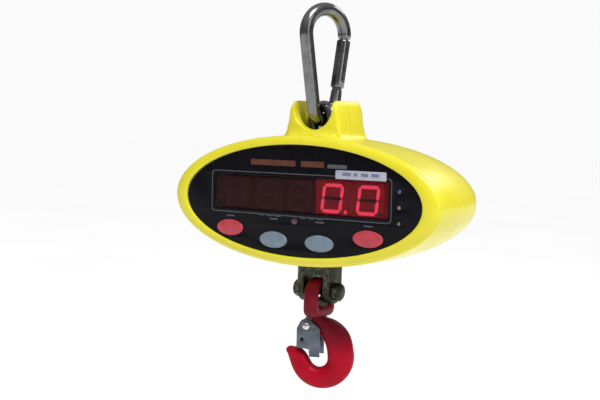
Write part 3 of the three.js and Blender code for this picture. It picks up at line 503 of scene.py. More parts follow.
def resampled(points, count):
    """The same path with evenly spaced points."""
    lengths = [0.0]
    for a, b in zip(points, points[1:]):
        lengths.append(lengths[-1] + hypot(b[0] - a[0], b[1] - a[1]))
    made = []
    j = 0
    for i in range(count):
        target = lengths[-1] * i / (count - 1)
        while j < len(points) - 2 and lengths[j + 1] < target:
            j += 1
        share = (target - lengths[j]) / max(lengths[j + 1] - lengths[j], 1e-9)
        made.append(tuple(points[j][k] + (points[j + 1][k] - points[j][k]) * share for k in (0, 1)))
    return made


# ---------------------------------------------------------------- housing

# Points round the housing's section, closer together across the tower
RING_ANGLES = [radians(114 + 312 * i / 170) for i in range(170)]
RING_ANGLES += [radians(66 + 48 * i / 110) for i in range(110)]


def section_share(y):
    """Size of the housing's section at a depth, against its front."""
    t = (y - FRONT_Y) / (BACK_Y - FRONT_Y)
    closing = max(0.0, (t - ROUND_FROM) / (1 - ROUND_FROM))
    return (1 + FLARE * t) * (BACK_SHARE + (1 - BACK_SHARE) * sqrt(max(0.0, 1 - closing * closing)))


def tower_reach(direction):
    """How far the tower's outline is from the middle of the housing, along a direction in x and z."""
    x, z = direction
    if z < 0.05:
        return 0.0
    side = (TOWER_FOOT_HALF + TOWER_FOOT_Z * TOWER_TAPER) / (abs(x) + z * TOWER_TAPER)
    top = TOWER_TOP / z
    blend = max(TOWER_CORNER - abs(side - top), 0.0) / TOWER_CORNER
    return min(side, top) - blend * blend * TOWER_CORNER / 4


def tower_rise(depth, height):
    """Height of the tower's skin at a depth inside its front or back face."""
    fillet = min(TOWER_FILLET, height * 0.5)
    edge = min(TOWER_EDGE, height * 0.5)
    if depth <= -fillet:
        return 0.0
    if depth <= 0:
        return fillet - sqrt(max(0.0, fillet * fillet - (depth + fillet) ** 2))
    if depth < edge:
        return height - edge + sqrt(max(0.0, edge * edge - (edge - depth) ** 2))
    return height


def section(y, inset=0.0, tower=True):
    """One ring of the housing. Inside rings leave the tower out and duck under its well."""
    share = section_share(y)
    a, b = HALF_WIDTH * share, HALF_HEIGHT * share
    ring = []
    for angle in RING_ANGLES:
        normal = Vector((b * cos(angle), a * sin(angle))).normalized()
        point = Vector((a * cos(angle), b * sin(angle))) - normal * inset
        if tower:
            reach = tower_reach(point.normalized()) - inset
            base = point.length
            blend = max(TOWER_FILLET - abs(reach - base), 0.0) / TOWER_FILLET
            height = max(reach, base) + blend * blend * TOWER_FILLET / 4 - base
            depth = min(y - TOWER_FRONT, TOWER_BACK - y)
            point = point.normalized() * (base + tower_rise(depth, height))
        elif abs(y) < 16 and point.y > 0:
            roof = WELL_ROOF + 2 * max(0.0, abs(point.x) - WELL_HALF)
            point.y = min(point.y, roof)
        ring.append((point.x, y, BODY_Z + point.y))
    return ring


def plain_ring(half_width, half_height, y):
    return [(half_width * cos(a), y, BODY_Z + half_height * sin(a)) for a in RING_ANGLES]


def rim_rings():
    """The soft lip round the face, from the panel's recess out to the side."""
    inner = (PANEL_HIGH.x + PANEL_GAP, PANEL_HIGH.z - BODY_Z + PANEL_GAP)
    edge = 0.8
    rings = [plain_ring(*inner, FRONT_Y + edge),
             plain_ring(inner[0] + 0.25, inner[1] + 0.25, FRONT_Y + 0.25)]
    start = (inner[0] + edge, inner[1] + edge)
    steps = 9
    for i in range(steps + 1):
        angle = pi / 2 * i / steps
        wide = start[0] + (HALF_WIDTH - start[0]) * sin(angle)
        high = start[1] + (HALF_HEIGHT - start[1]) * sin(angle)
        rings.append(plain_ring(wide, high, FRONT_Y + RIM_DEPTH * (1 - cos(angle))))
    return rings


def tower_depths(face, inward):
    """Depths where the skin bends at the tower's front or back face."""
    steps = 5
    foot = [face - inward * TOWER_FILLET * (1 - i / steps) for i in range(steps)]
    edge = [face + inward * (0.01 + (TOWER_EDGE - 0.01) * (1 - cos(pi / 2 * i / steps)))
            for i in range(steps + 1)]
    return foot + [face - inward * 0.01] + edge


def notch_cutter():
    """A round notch through the tower, flared where it meets the front and back faces."""
    flare = 1.2
    steps = 5
    front = [(TOWER_FRONT - 8, flare + 3)]
    front += [(TOWER_FRONT + flare * (1 - cos(a)), flare * (1 - sin(a)))
              for a in (pi / 2 * i / steps for i in range(steps + 1))]
    back = [(TOWER_FRONT + TOWER_BACK - y, grow) for y, grow in reversed(front)]
    rings = []
    for y, grow in front + back:
        lower = arc(0, NOTCH_Z, NOTCH_RADIUS + grow, 180, 360, 36)
        outline = lower + [(NOTCH_RADIUS + grow, -50), (-NOTCH_RADIUS - grow, -50)]
        rings.append([(x, y, z) for x, z in outline])
    return loft(rings)


def block(x, y, z, corner=0.0):
    """A box from three (low, high) pairs, its upright edges rounded."""
    centre = ((x[0] + x[1]) / 2, (y[0] + y[1]) / 2)
    outline = rounded_rectangle((x[1] - x[0]) / 2, (y[1] - y[0]) / 2, max(corner, 0.01), *centre)
    return loft([[(u, v, height) for u, v in outline] for height in z])


def well_cutter():
    half_width, half_depth, floor = WELL
    return block((-half_width, half_width), (-half_depth, half_depth), (floor, -50), 3)


def stem_cutter():
    return turned([(7.6, 0), (7.6, 40)], (0, 0, -120), (0, 0, 1))


def seal_cutter():
    low, high = box("bottom_seal")
    gap = 0.2
    return block((low.x - gap, high.x + gap), (low.y - gap, high.y + gap), (-222, -195), 4)


def make_front_shell():
    depths = [-30, -26] + tower_depths(TOWER_FRONT, 1) + [-9, -5, -1, SPLIT_FRONT]
    rings = rim_rings() + [section(y) for y in depths]
    rings += [section(SPLIT_FRONT, LIP), section(SEAT_FRONT, LIP)]
    rings += [section(SEAT_FRONT, WALL, tower=False)]
    rings += [section(y, WALL, tower=False) for y in (-5, -10, -15.9, -16.1, -22, LEDGE[3])]
    rings += [plain_ring(LEDGE[0], LEDGE[1], LEDGE[3]), plain_ring(LEDGE[0], LEDGE[1], LEDGE[2])]
    rings += [plain_ring(PANEL_HIGH.x + PANEL_GAP, PANEL_HIGH.z - BODY_Z + PANEL_GAP, LEDGE[2])]
    shape = loft(rings, closed=True)
    for cutter in (notch_cutter(), well_cutter(), stem_cutter(), seal_cutter()):
        shape = boolean(shape, cutter)
    piece("front_casing", shape, "yellow", "housing", "front_shell", slot="housing_yellow")


CASE_SCREWS = [f"case_screw_{i}" for i in range(1, 5)]
DOOR_SCREWS = ["door_screw_1", "door_screw_2"]
POCKET_HALF, POCKET_FRONT = (49.3, 26.3), 33.2


def across_y(node, radius, start, end, sides=40):
    """A round bar along Y through the middle of a node."""
    centre = middle(node)
    return turned([(radius, start), (radius, end)], (centre.x, 0, centre.z), (0, 1, 0), sides)


def pocket_block(grow, back):
    outline = rounded_rectangle(POCKET_HALF[0] + grow, POCKET_HALF[1] + grow, 2, 0, BODY_Z)
    return loft([[(x, y, z) for x, z in outline] for y in (POCKET_FRONT - grow, back)])


def door_outline(grow):
    half = half_size("battery_door")
    return rounded_rectangle(half.x + grow, half.z + grow, 6 + grow, 0, BODY_Z, 10)


def make_rear_shell():
    back_wall = 60.0
    steps = 18
    start = TOWER_BACK + TOWER_FILLET
    closing = [start + (BACK_Y - start) * sin(pi / 2 * i / steps) for i in range(1, steps + 1)]
    inner = [section(y, WALL, tower=False) for y in (back_wall, 56, 50, 42, 34, 25, 16.1, 15.9, 8)]
    edge = [section(SEAT_REAR, WALL, tower=False), section(SEAT_REAR, LIP), section(SPLIT_REAR, LIP)]
    outer = [section(y) for y in [SPLIT_REAR, 6, 12] + tower_depths(TOWER_BACK, -1)[::-1] + closing]
    shape = loft(inner + edge + outer)
    for node in CASE_SCREWS:
        under_skin = loft([section(y, 0.6, tower=False) for y in (SEAT_REAR, 25, 34, 42, 50, 56, 60, 63)])
        column = boolean(across_y(node, 6, SEAT_REAR, back_wall + 1), under_skin, "INTERSECT")
        shape = joined(shape, column)
    shape = joined(shape, pocket_block(2, back_wall + 1))
    low, high = box("battery_door")
    seat = loft([[(x, y, z) for x, z in door_outline(grow)] for y, grow in
                 ((low.y - 0.3, 0.3), (high.y - 0.5, 0.3), (high.y + 0.4, 1.2), (high.y + 9, 1.2))])
    cutters = [notch_cutter(), well_cutter(), stem_cutter(), seal_cutter(), pocket_block(0, 80), seat]
    cutters += [across_y(node, 4.2, box(node)[1].y - 3.5, 80) for node in CASE_SCREWS]
    cutters += [across_y("charger_socket", 5.7, 50, 80)]
    for cutter in cutters:
        shape = boolean(shape, cutter)
    piece("rear_casing", shape, "yellow", "housing", "rear_shell", slot="housing_yellow")


def make_gaskets():
    """Rubber strips set back between the two shells, and the one behind the face panel."""
    for side, name in ((1, "right"), (-1, "left")):
        low, high = box(f"case_gasket_{name}")
        rings = []
        steps = 90
        top, bottom = radians(77), radians(-79)
        for i in range(steps + 1):
            angle = bottom + (top - bottom) * i / steps
            share = section_share(low.y)
            corners = ((LIP + 0.3, low.y), (LIP + 0.3, high.y), (WALL, high.y), (WALL, low.y))
            ring = []
            for inset, y in corners:
                x = (HALF_WIDTH * share - inset) * cos(angle)
                ring.append((side * x, y, BODY_Z + (HALF_HEIGHT * share - inset) * sin(angle)))
            rings.append(ring)
        piece(f"shell_gasket_{name}", loft(rings), "rubber", "housing", f"case_gasket_{name}",
              slot="seal_rubber")
    low, high = box("panel_gasket")
    half = half_size("panel_gasket")
    edges = [oval(half.x - inset, half.z - inset, 0, BODY_Z, 160) for inset in (0, 1.8)]
    ring = outline_solid(edges, low.y, high.y, 0.25, 2)
    piece("face_gasket", ring, "rubber", "housing", "panel_gasket", slot="seal_rubber")
    low, high = box("bottom_seal")
    fork = box("clevis")[1]
    rings = []
    bellows = ((0, 0.6), (0.2, 0.0), (0.5, 0.0), (0.62, 0.7), (0.74, 0.0), (1, 0.0))
    for share, inset in bellows:
        outline = rounded_rectangle(high.x - inset, high.y - inset, 4 - inset)
        rings.append([(x, y, low.z + (high.z - low.z) * share) for x, y in outline])
    hole = block((-fork.x - 0.2, fork.x + 0.2), (-fork.y - 0.2, fork.y + 0.2), (low.z - 5, high.z + 5), 0.8)
    piece("clevis_boot", boolean(loft(rings), hole), "rubber", "housing", "bottom_seal", slot="seal_rubber")


# ---------------------------------------------------------------- face

KEYS = (("power_button", "key_red"), ("hold_button", "key_grey"), ("tare_button", "key_grey"),
        ("zero_button", "key_red"))
KEY_HALF = (13.3, 6.6)
LABEL_HALF = (22.6, 3.4)
LAMP_OFFSETS = (12.0, 0.0, -12.0)
LAMP_X = 92.0
DIGIT_HALF = (8.3, 10.2)
DIGIT_SHIFT = (0.4, 0.4, 0.4, 0.2, 1.5)
DIGIT_DROP = 0.7
DIGIT_STROKE = 2.7
DIGIT_SLANT = 0.12
LIT_FROM = 3
RECEIVER_Z = BODY_Z - 16.0


def make_panel():
    half = half_size("face_panel")
    gap = 0.3
    lens = half_size("display_lens")
    lens_z = middle("display_lens").z
    outlines = [oval(half.x, half.z, 0, BODY_Z, 200),
                rounded_rectangle(lens.x + gap, lens.z + gap, 1.8, 0, lens_z)]
    for key, _ in KEYS:
        centre = middle(key)
        outlines.append(oval(KEY_HALF[0] + gap, KEY_HALF[1] + gap, centre.x, centre.z, 64))
    outlines += [oval(1.9, 1.9, LAMP_X, BODY_Z + z, 24) for z in LAMP_OFFSETS]
    outlines.append(oval(3.3, 3.3, middle("ir_receiver").x, RECEIVER_Z, 32))
    shape = outline_solid(outlines, PANEL_LOW.y, PANEL_HIGH.y, 0.3, 3)
    piece("face_plate", shape, "panel", "housing", "face_panel", slot="face_black")
    glass = outline_solid([rounded_rectangle(lens.x, lens.z, 1.5, 0, lens_z)],
                          LENS_LOW.y, LENS_HIGH.y, 0.25)
    piece("display_window", glass, "lens", "housing", "display_lens", slot="display_filter")


def printed(name, outlines, material, front, slot):
    """Ink standing a hair proud of the surface it is printed on."""
    ink = 0.06
    piece(name, outline_solid(outlines, front - ink, front + 0.02), material, "housing", slot=slot)


def bar(x0, x1, z, height, corner=0.6):
    return rounded_rectangle((x1 - x0) / 2, height / 2, corner, (x0 + x1) / 2, BODY_Z + z, 3)


def make_print():
    front = PANEL_LOW.y
    lens = half_size("display_lens")
    lens_z = middle("display_lens").z
    frame_lines = [rounded_rectangle(lens.x + grow, lens.z + grow, 2.2 + grow * 0.3, 0, lens_z)
                   for grow in (3.4, 2.7)]
    printed("window_outline", frame_lines, "line", front, "face_black")
    printed("title_bars", [bar(-46, -2, 29.6, 4.6), bar(3, 25, 29.6, 4.6)], "title", front, "face_black")
    printed("subtitle_bars", [bar(28, 46, 28.6, 3.0)], "line", front, "face_black")
    ticks = [bar(x - 2.6, x + 2.6, -12.9, 1.3, 0.4) for x in (-34, -26, -18, 6, 14, 22)]
    ticks += [bar(x - 4, x + 4, -15.6, 1.1, 0.4) for x in (-66, -22, 22, 66)]
    printed("legend_marks", ticks, "line", front, "face_black")


def make_label():
    low, high = box("capacity_label")
    centre = middle("capacity_label")
    half_width, half_height = LABEL_HALF
    plate = outline_solid([rounded_rectangle(half_width, half_height, 0.8, centre.x, centre.z)],
                          low.y, high.y, 0.1, 2)
    piece("range_label", plate, "label", "housing", "capacity_label", slot="label_white")
    spans = ((-0.72, -0.38), (-0.26, -0.12), (0.02, 0.30), (0.42, 0.72))
    marks = [rounded_rectangle(half_width * (b - a) / 2, 1.3, 0.4, centre.x + half_width * (a + b) / 2,
                               centre.z + 0.5, 3) for a, b in spans]
    printed("label_marks", marks, "ink", low.y, "label_white")


def clear_of_ledge(x, z):
    """Moves a point of a key's flange inside the oval ledge that the face panel sits on."""
    share = max(1.0, hypot(x / (LEDGE[0] - 0.5), (z - BODY_Z) / (LEDGE[1] - 0.5)))
    return x / share, BODY_Z + (z - BODY_Z) / share


def make_keys():
    """Domed oval keys, each with a flange behind the panel and a stem to its switch."""
    profile = ((0.9, 4.7), (0.9, 3.8), (0.0, 3.8), (0.0, 0.75), (-0.12, 0.45), (-0.45, 0.2),
               (-1.1, 0.05), (-2.2, -0.05), (-3.6, -0.12), (-5.0, -0.16))
    for name, colour in KEYS:
        centre = middle(name)
        low, high = box(name)
        rings = []
        for grow, depth in profile:
            outline = oval(KEY_HALF[0] + grow, KEY_HALF[1] + grow, centre.x, centre.z, 64)
            if grow > 0:
                outline = [clear_of_ledge(x, z) for x, z in outline]
            rings.append([(x, low.y + depth, z) for x, z in outline])
        stem = turned([(1.6, low.y + 3), (1.6, high.y)], (centre.x, 0, centre.z), (0, 1, 0), 24)
        piece(f"{name}_cap", joined(loft(rings), stem), colour, name, name, slot=colour)


SEGMENTS = {
    "top": ((-1, 1), (1, 1)),
    "middle": ((-1, 0), (1, 0)),
    "bottom": ((-1, -1), (1, -1)),
    "upper_left": ((-1, 0), (-1, 1)),
    "upper_right": ((1, 0), (1, 1)),
    "lower_left": ((-1, -1), (-1, 0)),
    "lower_right": ((1, -1), (1, 0)),
}


def segment_outline(ends, centre_x, centre_z):
    """A six-sided bar between two corners of the figure eight, leaning with the digit."""
    (u0, v0), (u1, v1) = [(u * DIGIT_HALF[0], v * DIGIT_HALF[1]) for u, v in ends]
    length = hypot(u1 - u0, v1 - v0)
    along = ((u1 - u0) / length, (v1 - v0) / length)
    side = (-along[1], along[0])
    half = DIGIT_STROKE / 2
    gap = 0.35
    places = ((gap, 0), (gap + half, half), (length - gap - half, half), (length - gap, 0),
              (length - gap - half, -half), (gap + half, -half))
    made = []
    for distance, offset in places:
        u = u0 + along[0] * distance + side[0] * offset
        v = v0 + along[1] * distance + side[1] * offset
        made.append((centre_x + u + DIGIT_SLANT * v, centre_z + v))
    return made


def make_digits():
    lit, unlit = [], []
    for i in range(5):
        node = f"led_digit_{i + 1}"
        centre = middle(node)
        half = half_size(node)
        low, high = box(node)
        for name, ends in SEGMENTS.items():
            group = lit if i >= LIT_FROM and name != "middle" else unlit
            group.append(segment_outline(ends, centre.x + DIGIT_SHIFT[i], centre.z - DIGIT_DROP))
        dot = oval(1.5, 1.5, centre.x + DIGIT_HALF[0] + 4.2, centre.z - DIGIT_DROP - DIGIT_HALF[1], 20)
        (lit if i == LIT_FROM else unlit).append(dot)
        tray = outline_solid([rounded_rectangle(half.x, half.z, 0.8, centre.x, centre.z, 3)],
                             low.y, high.y, 0.3, 2)
        look = "glow" if i >= LIT_FROM else "module"
        piece(f"digit_module_{i + 1}", tray, look, "housing", node, slot="led_module")
    face = box("led_digit_1")[0].y
    for look, outlines in (("lit", lit), ("unlit", unlit)):
        bars = outline_solid(outlines, face - 0.2, face + 0.05)
        piece(f"{look}_segments", bars, look, "housing", slot="led_module")


def make_lamps():
    """Three status lamps and the remote's receiver window."""
    low, high = box("indicator_lamps")
    half = half_size("indicator_lamps")
    profile = ((1.6, 3.4), (1.6, 0.9), (1.45, 0.45), (1.0, 0.12), (0.4, 0.0))
    strip = outline_solid([rounded_rectangle(half.x, half.z, 0.8, LAMP_X, BODY_Z)],
                          PANEL_HIGH.y + 1.2, high.y, 0.3, 2)
    piece("lamp_carrier", strip, "black", "housing", "indicator_lamps", slot="lamp_clear")
    for i, (offset, colour) in enumerate(zip(LAMP_OFFSETS, ("lamp_blue", "lamp_amber", "lamp_green"))):
        dome = turned(profile, (LAMP_X, low.y, BODY_Z + offset), (0, 1, 0), 32)
        piece(f"status_lamp_{i + 1}", dome, colour, "housing", slot="lamp_clear")
    low, high = box("ir_receiver")
    profile = ((3.0, high.y - low.y), (3.0, 0.9), (2.8, 0.45), (2.0, 0.12), (0.8, 0.0))
    dome = turned(profile, (middle("ir_receiver").x, low.y, RECEIVER_Z), (0, 1, 0), 40)
    piece("receiver_window", dome, "receiver", "housing", "ir_receiver", slot="lamp_clear")


# ---------------------------------------------------------------- snap hook

BAR = 5.5
SNAP_TWIST = radians(72)
BOW, BEND = 20.0, 10.9
BOW_CENTRE = Vector((0, -15.0))
BEND_CENTRE = Vector((0, -74.1))
HINGE_Z = -54.0
TONGUE = 2.0
LEAN = asin((BOW - BEND) / (BOW_CENTRE.y - BEND_CENTRE.y))
LIMB = Vector((sin(LEAN), cos(LEAN)))
LIMB_SIDE = Vector((cos(LEAN), -sin(LEAN)))
NOSE = BOW_CENTRE + LIMB_SIDE * BOW
LIMB_FOOT = BEND_CENTRE + LIMB_SIDE * BEND
HINGE = LIMB_FOOT + LIMB * ((HINGE_Z - LIMB_FOOT.y) / LIMB.y)
GATE_LENGTH = (NOSE - HINGE).length - 1


def on_limb(distance, side=0.0):
    return HINGE + LIMB * distance + LIMB_SIDE * side


def limb_slab(start, end, half_wide, half_thick, edge, round_end=False):
    """A flat tongue in the bow's plane, along the gate side."""
    outline = [on_limb(start, -half_wide), on_limb(start, half_wide)]
    if round_end:
        turns = [pi * i / 16 for i in range(17)]
        outline += [on_limb(end + half_wide * sin(a), half_wide * cos(a)) for a in turns]
    else:
        outline += [on_limb(end, half_wide), on_limb(end, -half_wide)]
    return outline_solid([[tuple(p) for p in outline]], -half_thick, half_thick, edge, 2)


def rivet(centre, half_length, radius, head, thickness):
    """A pin along local Y with a low domed head at each end."""
    angles = [radians(80 - 16 * i) for i in range(6)]
    dome = [(head * cos(a), half_length - thickness + thickness * sin(a)) for a in angles]
    rising = [(r, -y) for r, y in dome]
    falling = list(reversed(dome))
    shaft = [(radius, -half_length + thickness), (radius, half_length - thickness)]
    return turned(rising + shaft + falling, centre, (0, 1, 0), 40)


def make_snap_hook():
    lean = degrees(LEAN)
    path = arc(*BOW_CENTRE, BOW, -lean, 180 + lean, 72)
    bend = arc(*BEND_CENTRE, BEND, 180 + lean, 360 - lean, 40)
    path += resampled([path[-1], bend[0]], 13)[1:] + bend[1:] + [on_limb(-6.5)]
    path = [(x, 0, z) for x, z in path]
    rounding = [BAR - 1.1, BAR - 0.5, BAR - 0.15]
    radii = rounding + [BAR] * (len(path) - 6) + rounding[::-1]
    body = sweep(path, radii, 40)
    body = joined(body, limb_slab(-10, 0, 3.6, TONGUE, 0.4, True))
    body = joined(body, limb_slab(GATE_LENGTH - 5, GATE_LENGTH + 4, 3, TONGUE, 0.4))
    piece("snap_hook_bow", turn(body, SNAP_TWIST), "bright", "carabiner", "carabiner_body",
          slot="zinc_plate")

    profile = [(BAR - 0.9, -4.4), (BAR - 0.3, -4.1), (BAR, -3.4)]
    profile += [(BAR, 2 + (GATE_LENGTH - 4) * i / 10) for i in range(11)]
    profile += [(BAR, GATE_LENGTH - 1), (BAR - 0.3, GATE_LENGTH - 0.3), (BAR - 0.9, GATE_LENGTH)]
    axis = (LIMB.x, 0, LIMB.y)
    gate = turned(profile, (HINGE.x, 0, HINGE.y), axis, 48)
    slot = TONGUE + 0.3
    gate = boolean(gate, limb_slab(-6, 6, 8, slot, 0.0))
    gate = boolean(gate, limb_slab(GATE_LENGTH - 6, GATE_LENGTH + 3, 8, slot, 0.0))
    core = on_limb(4)
    gate = boolean(gate, turned([(2.4, 0), (2.4, 20)], (core.x, 0, core.y), axis, 32))
    piece("snap_gate", turn(gate, SNAP_TWIST), "bright", "gate", "carabiner_gate", slot="zinc_plate")

    pin = rivet((HINGE.x, 0, HINGE.y), 5.7, 1.5, 2.3, 0.9)
    piece("gate_rivet", turn(pin, SNAP_TWIST), "steel", "carabiner", "gate_pin", slot="steel")
    seat = on_limb(7)
    coil = helix((seat.x, 0, seat.y), axis, 1.6, 2.6, 6, 0.4)
    piece("gate_coil", turn(coil, SNAP_TWIST), "steel", "gate", "gate_spring", slot="steel")


def helix(start, axis, radius, pitch, turns, wire):
    along, across, other = axes(axis)
    steps = int(turns * 24)
    points = []
    for i in range(steps + 1):
        a = 2 * pi * turns * i / steps
        centre = Vector(start) + along * (turns * pitch * i / steps)
        points.append(centre + (across * cos(a) + other * sin(a)) * radius)
    return sweep(points, wire, 10)


# ---------------------------------------------------------------- load train

EYE_TURN = radians(-18)
EYE_RING, EYE_SECTION = 12.5, 5.0
PIN_Z = -225.0


def make_top_eye():
    high = box("top_eye")[1].z
    centre_z = high - EYE_RING - EYE_SECTION
    middle_line = [(EYE_RING * cos(a), 0, centre_z + EYE_RING * sin(a)) for a in full_turn(96)]
    ring = turn(sweep(middle_line, EYE_SECTION, 36, closed=True), EYE_TURN)
    low = box("top_eye")[0].z
    foot = centre_z - EYE_RING
    neck = [(6.0, low), (6.0, foot - 4.5), (6.2, foot - 3.4), (6.8, foot - 2.2), (6.8, foot)]
    stem = turned(neck, (0, 0, 0), (0, 0, 1))
    piece("eye_bolt", joined(ring, stem), "bright", "housing", "top_eye", slot="zinc_plate")


def softened(shape, width, segments=2, angle=50):
    """Bevels the sharp edges of a machined part."""
    sharp = [e for e in shape.edges if len(e.link_faces) == 2 and e.calc_face_angle(0) > radians(angle)]
    bmesh.ops.bevel(shape, geom=sharp, offset=width, segments=segments, profile=0.5, affect="EDGES",
                    clamp_overlap=True)
    return shape


def fork_outline(half, top, bottom_z):
    """Seen along X: a straight bar with a half-round foot about the bolt."""
    return [(half, top), (-half, top)] + arc(0, bottom_z, half, 180, 360, 32)


def make_clevis():
    low, high = box("clevis")
    half_width, half_depth = high.x, high.y
    top = -190.1
    body = outline_solid([fork_outline(half_depth, top, PIN_Z)], -half_width, half_width, 0.8, 3, "x")
    gap = half_width - 6
    crotch = -212.2
    slot = outline_solid([rounded_rectangle(gap, 30, 3, 0, crotch - 30)], -30, 30, 0.0)
    body = boolean(body, slot)
    bore = turned([(4.3, -40), (4.3, 40)], (0, 0, PIN_Z), (1, 0, 0))
    body = boolean(body, bore)
    stud = turned([(6, top - 3), (6, high.z - 0.6), (5.4, high.z)], (0, 0, 0), (0, 0, 1))
    piece("fork", joined(body, stud), "dark_steel", "housing", "clevis", slot="steel")

    low, high = box("clevis_bolt")
    head_start = half_width + 0.3
    head = hexagon_head(13, head_start, high.x)
    shank = turned([(3.4, low.x), (4, low.x + 0.7), (4, head_start + 0.5)], (0, 0, PIN_Z), (1, 0, 0), 40)
    piece("fork_bolt", joined(head, shank), "dark_steel", "housing", "clevis_bolt", slot="steel")
    low, high = box("clevis_nut")
    thread = turned([(4.2, -40), (4.2, 0)], (0, 0, PIN_Z), (1, 0, 0), 40)
    nut = boolean(hexagon_head(13, high.x, low.x), thread)
    piece("fork_nut", nut, "dark_steel", "housing", "clevis_nut", slot="steel")
    for side in ("left", "right"):
        node = f"clevis_washer_{side}"
        low, high = box(node)
        edges = [oval(radius, radius, 0, PIN_Z, 48) for radius in (6.4, 4.3)]
        disc = outline_solid(edges, low.x, high.x, 0.2, 2, "x")
        piece(f"fork_washer_{side}", disc, "steel", "housing", node, slot="steel")


def hexagon_head(flats, inner, outer, chamfer=1.0):
    """A hexagon along X with its outer corners chamfered round."""
    radius = flats / sqrt(3)
    spokes = [radians(30 + 60 * i) for i in range(6)]
    prism = loft([[(x, radius * cos(a), PIN_Z + radius * sin(a)) for a in spokes] for x in (inner, outer)])
    way = 1 if outer > inner else -1
    length = abs(outer - inner)
    profile = [(radius + 0.1, -0.5), (radius + 0.1, length - chamfer), (flats / 2 - 0.4, length + 0.01)]
    cone = turned(profile, (inner, 0, PIN_Z), (way, 0, 0), 60)
    return boolean(prism, cone, "INTERSECT")


def make_bail():
    low, high = box("swivel_bail")
    half, hole = high.y, 9.0
    corner = 7.0
    outer = arc(0, high.z - half, half, 0, 180, 32)
    outer += arc(corner - half, low.z + corner, corner, 180, 270, 8)
    outer += arc(half - corner, low.z + corner, corner, 270, 360, 8)
    floor = low.z + 8.8
    top = high.z - half + hole
    inner = arc(0, top - hole, hole, 0, 180, 28) + arc(2 - hole, floor + 2, 2, 180, 270, 5)
    inner += arc(hole - 2, floor + 2, 2, 270, 360, 5)
    ring = outline_solid([outer, inner], low.x, high.x, 3.0, 5, "x")
    bore = turned([(5.8, low.z - 5), (5.8, floor + 3)], (0, 0, 0), (0, 0, 1))
    # The bail's darker red is painted shade.
    piece("bail", boolean(ring, bore), "shaded_red", "bail", "swivel_bail", slot="hook_red")


# ---------------------------------------------------------------- hook, drawn along x, then turned about Z

HOOK_TURN = radians(20)
HOOK_TOP = -247.3
LATCH_U, LATCH_Z = -8.5, -254.3
LATCH_INSIDE, LATCH_SHEET = 7.6, 1.4
LATCH_WEB, LATCH_FRONT, LATCH_FOOT, LATCH_TONGUE = -16.4, 3.2, -272.0, -279.4
LATCH_EYE, LATCH_OPENING = 6.2, radians(40)


def hook_sides():
    """The forging's inner and outer edges from neck to tip, in matching stretches."""
    bowl = (0.8, -281.4, 7.6)
    left = arc(*bowl, -90, -150, 16)[-1]
    inner = [
        bezier((-5.2, -248), (-5.4, -253), (-4.8, -257.6), (-2, -259.5)),
        bezier((-2, -259.5), (4.4, -262.5), (8.4, -270), (8.4, -281.4)),
        arc(*bowl, 0, -90, 20),
        arc(*bowl, -90, -150, 16),
        bezier(left, (-8.6, -281), (-10.5, -275.8), (-15.4, -274.4), 8),
        bezier((-15.4, -274.4), (-18.4, -273.6), (-21.6, -273.2), (-24.4, -273.2), 8),
    ]
    outer = [
        bezier((6.6, -248), (12, -248.4), (16.5, -250.2), (20.5, -253.6)),
        bezier((20.5, -253.6), (25.4, -257.8), (28.4, -263), (29.9, -273.6)),
        arc(3.5, -279.5, 27, 12, -90, 20),
        arc(3.5, -279.5, 27, -90, -150, 16),
        bezier((-19.9, -293), (-22, -289.4), (-23.8, -284), (-25.4, -279.6), 8),
        bezier((-25.4, -279.6), (-26.8, -277.6), (-27.3, -276.2), (-26.6, -274.6), 8),
    ]
    counts = (9, 9, 22, 16, 6, 6)
    paths = []
    for side in (inner, outer):
        path = []
        for stretch, count in zip(side, counts):
            path += resampled(stretch, count + 1)[:-1]
        path.append(side[-1][-1])
        paths.append(path)
    return paths


def forged_ring(inner, outer, half, count=36):
    """A section between two edges: a full oval, a little flatter than an ellipse."""
    centre = ((inner[0] + outer[0]) / 2, (inner[1] + outer[1]) / 2)
    reach = ((outer[0] - inner[0]) / 2, (outer[1] - inner[1]) / 2)
    power = 0.78
    ring = []
    for a in full_turn(count):
        wide = abs(cos(a)) ** power * (1 if cos(a) >= 0 else -1)
        thick = abs(sin(a)) ** power * (1 if sin(a) >= 0 else -1)
        ring.append((centre[0] + reach[0] * wide, half * thick, centre[1] + reach[1] * wide))
    return ring


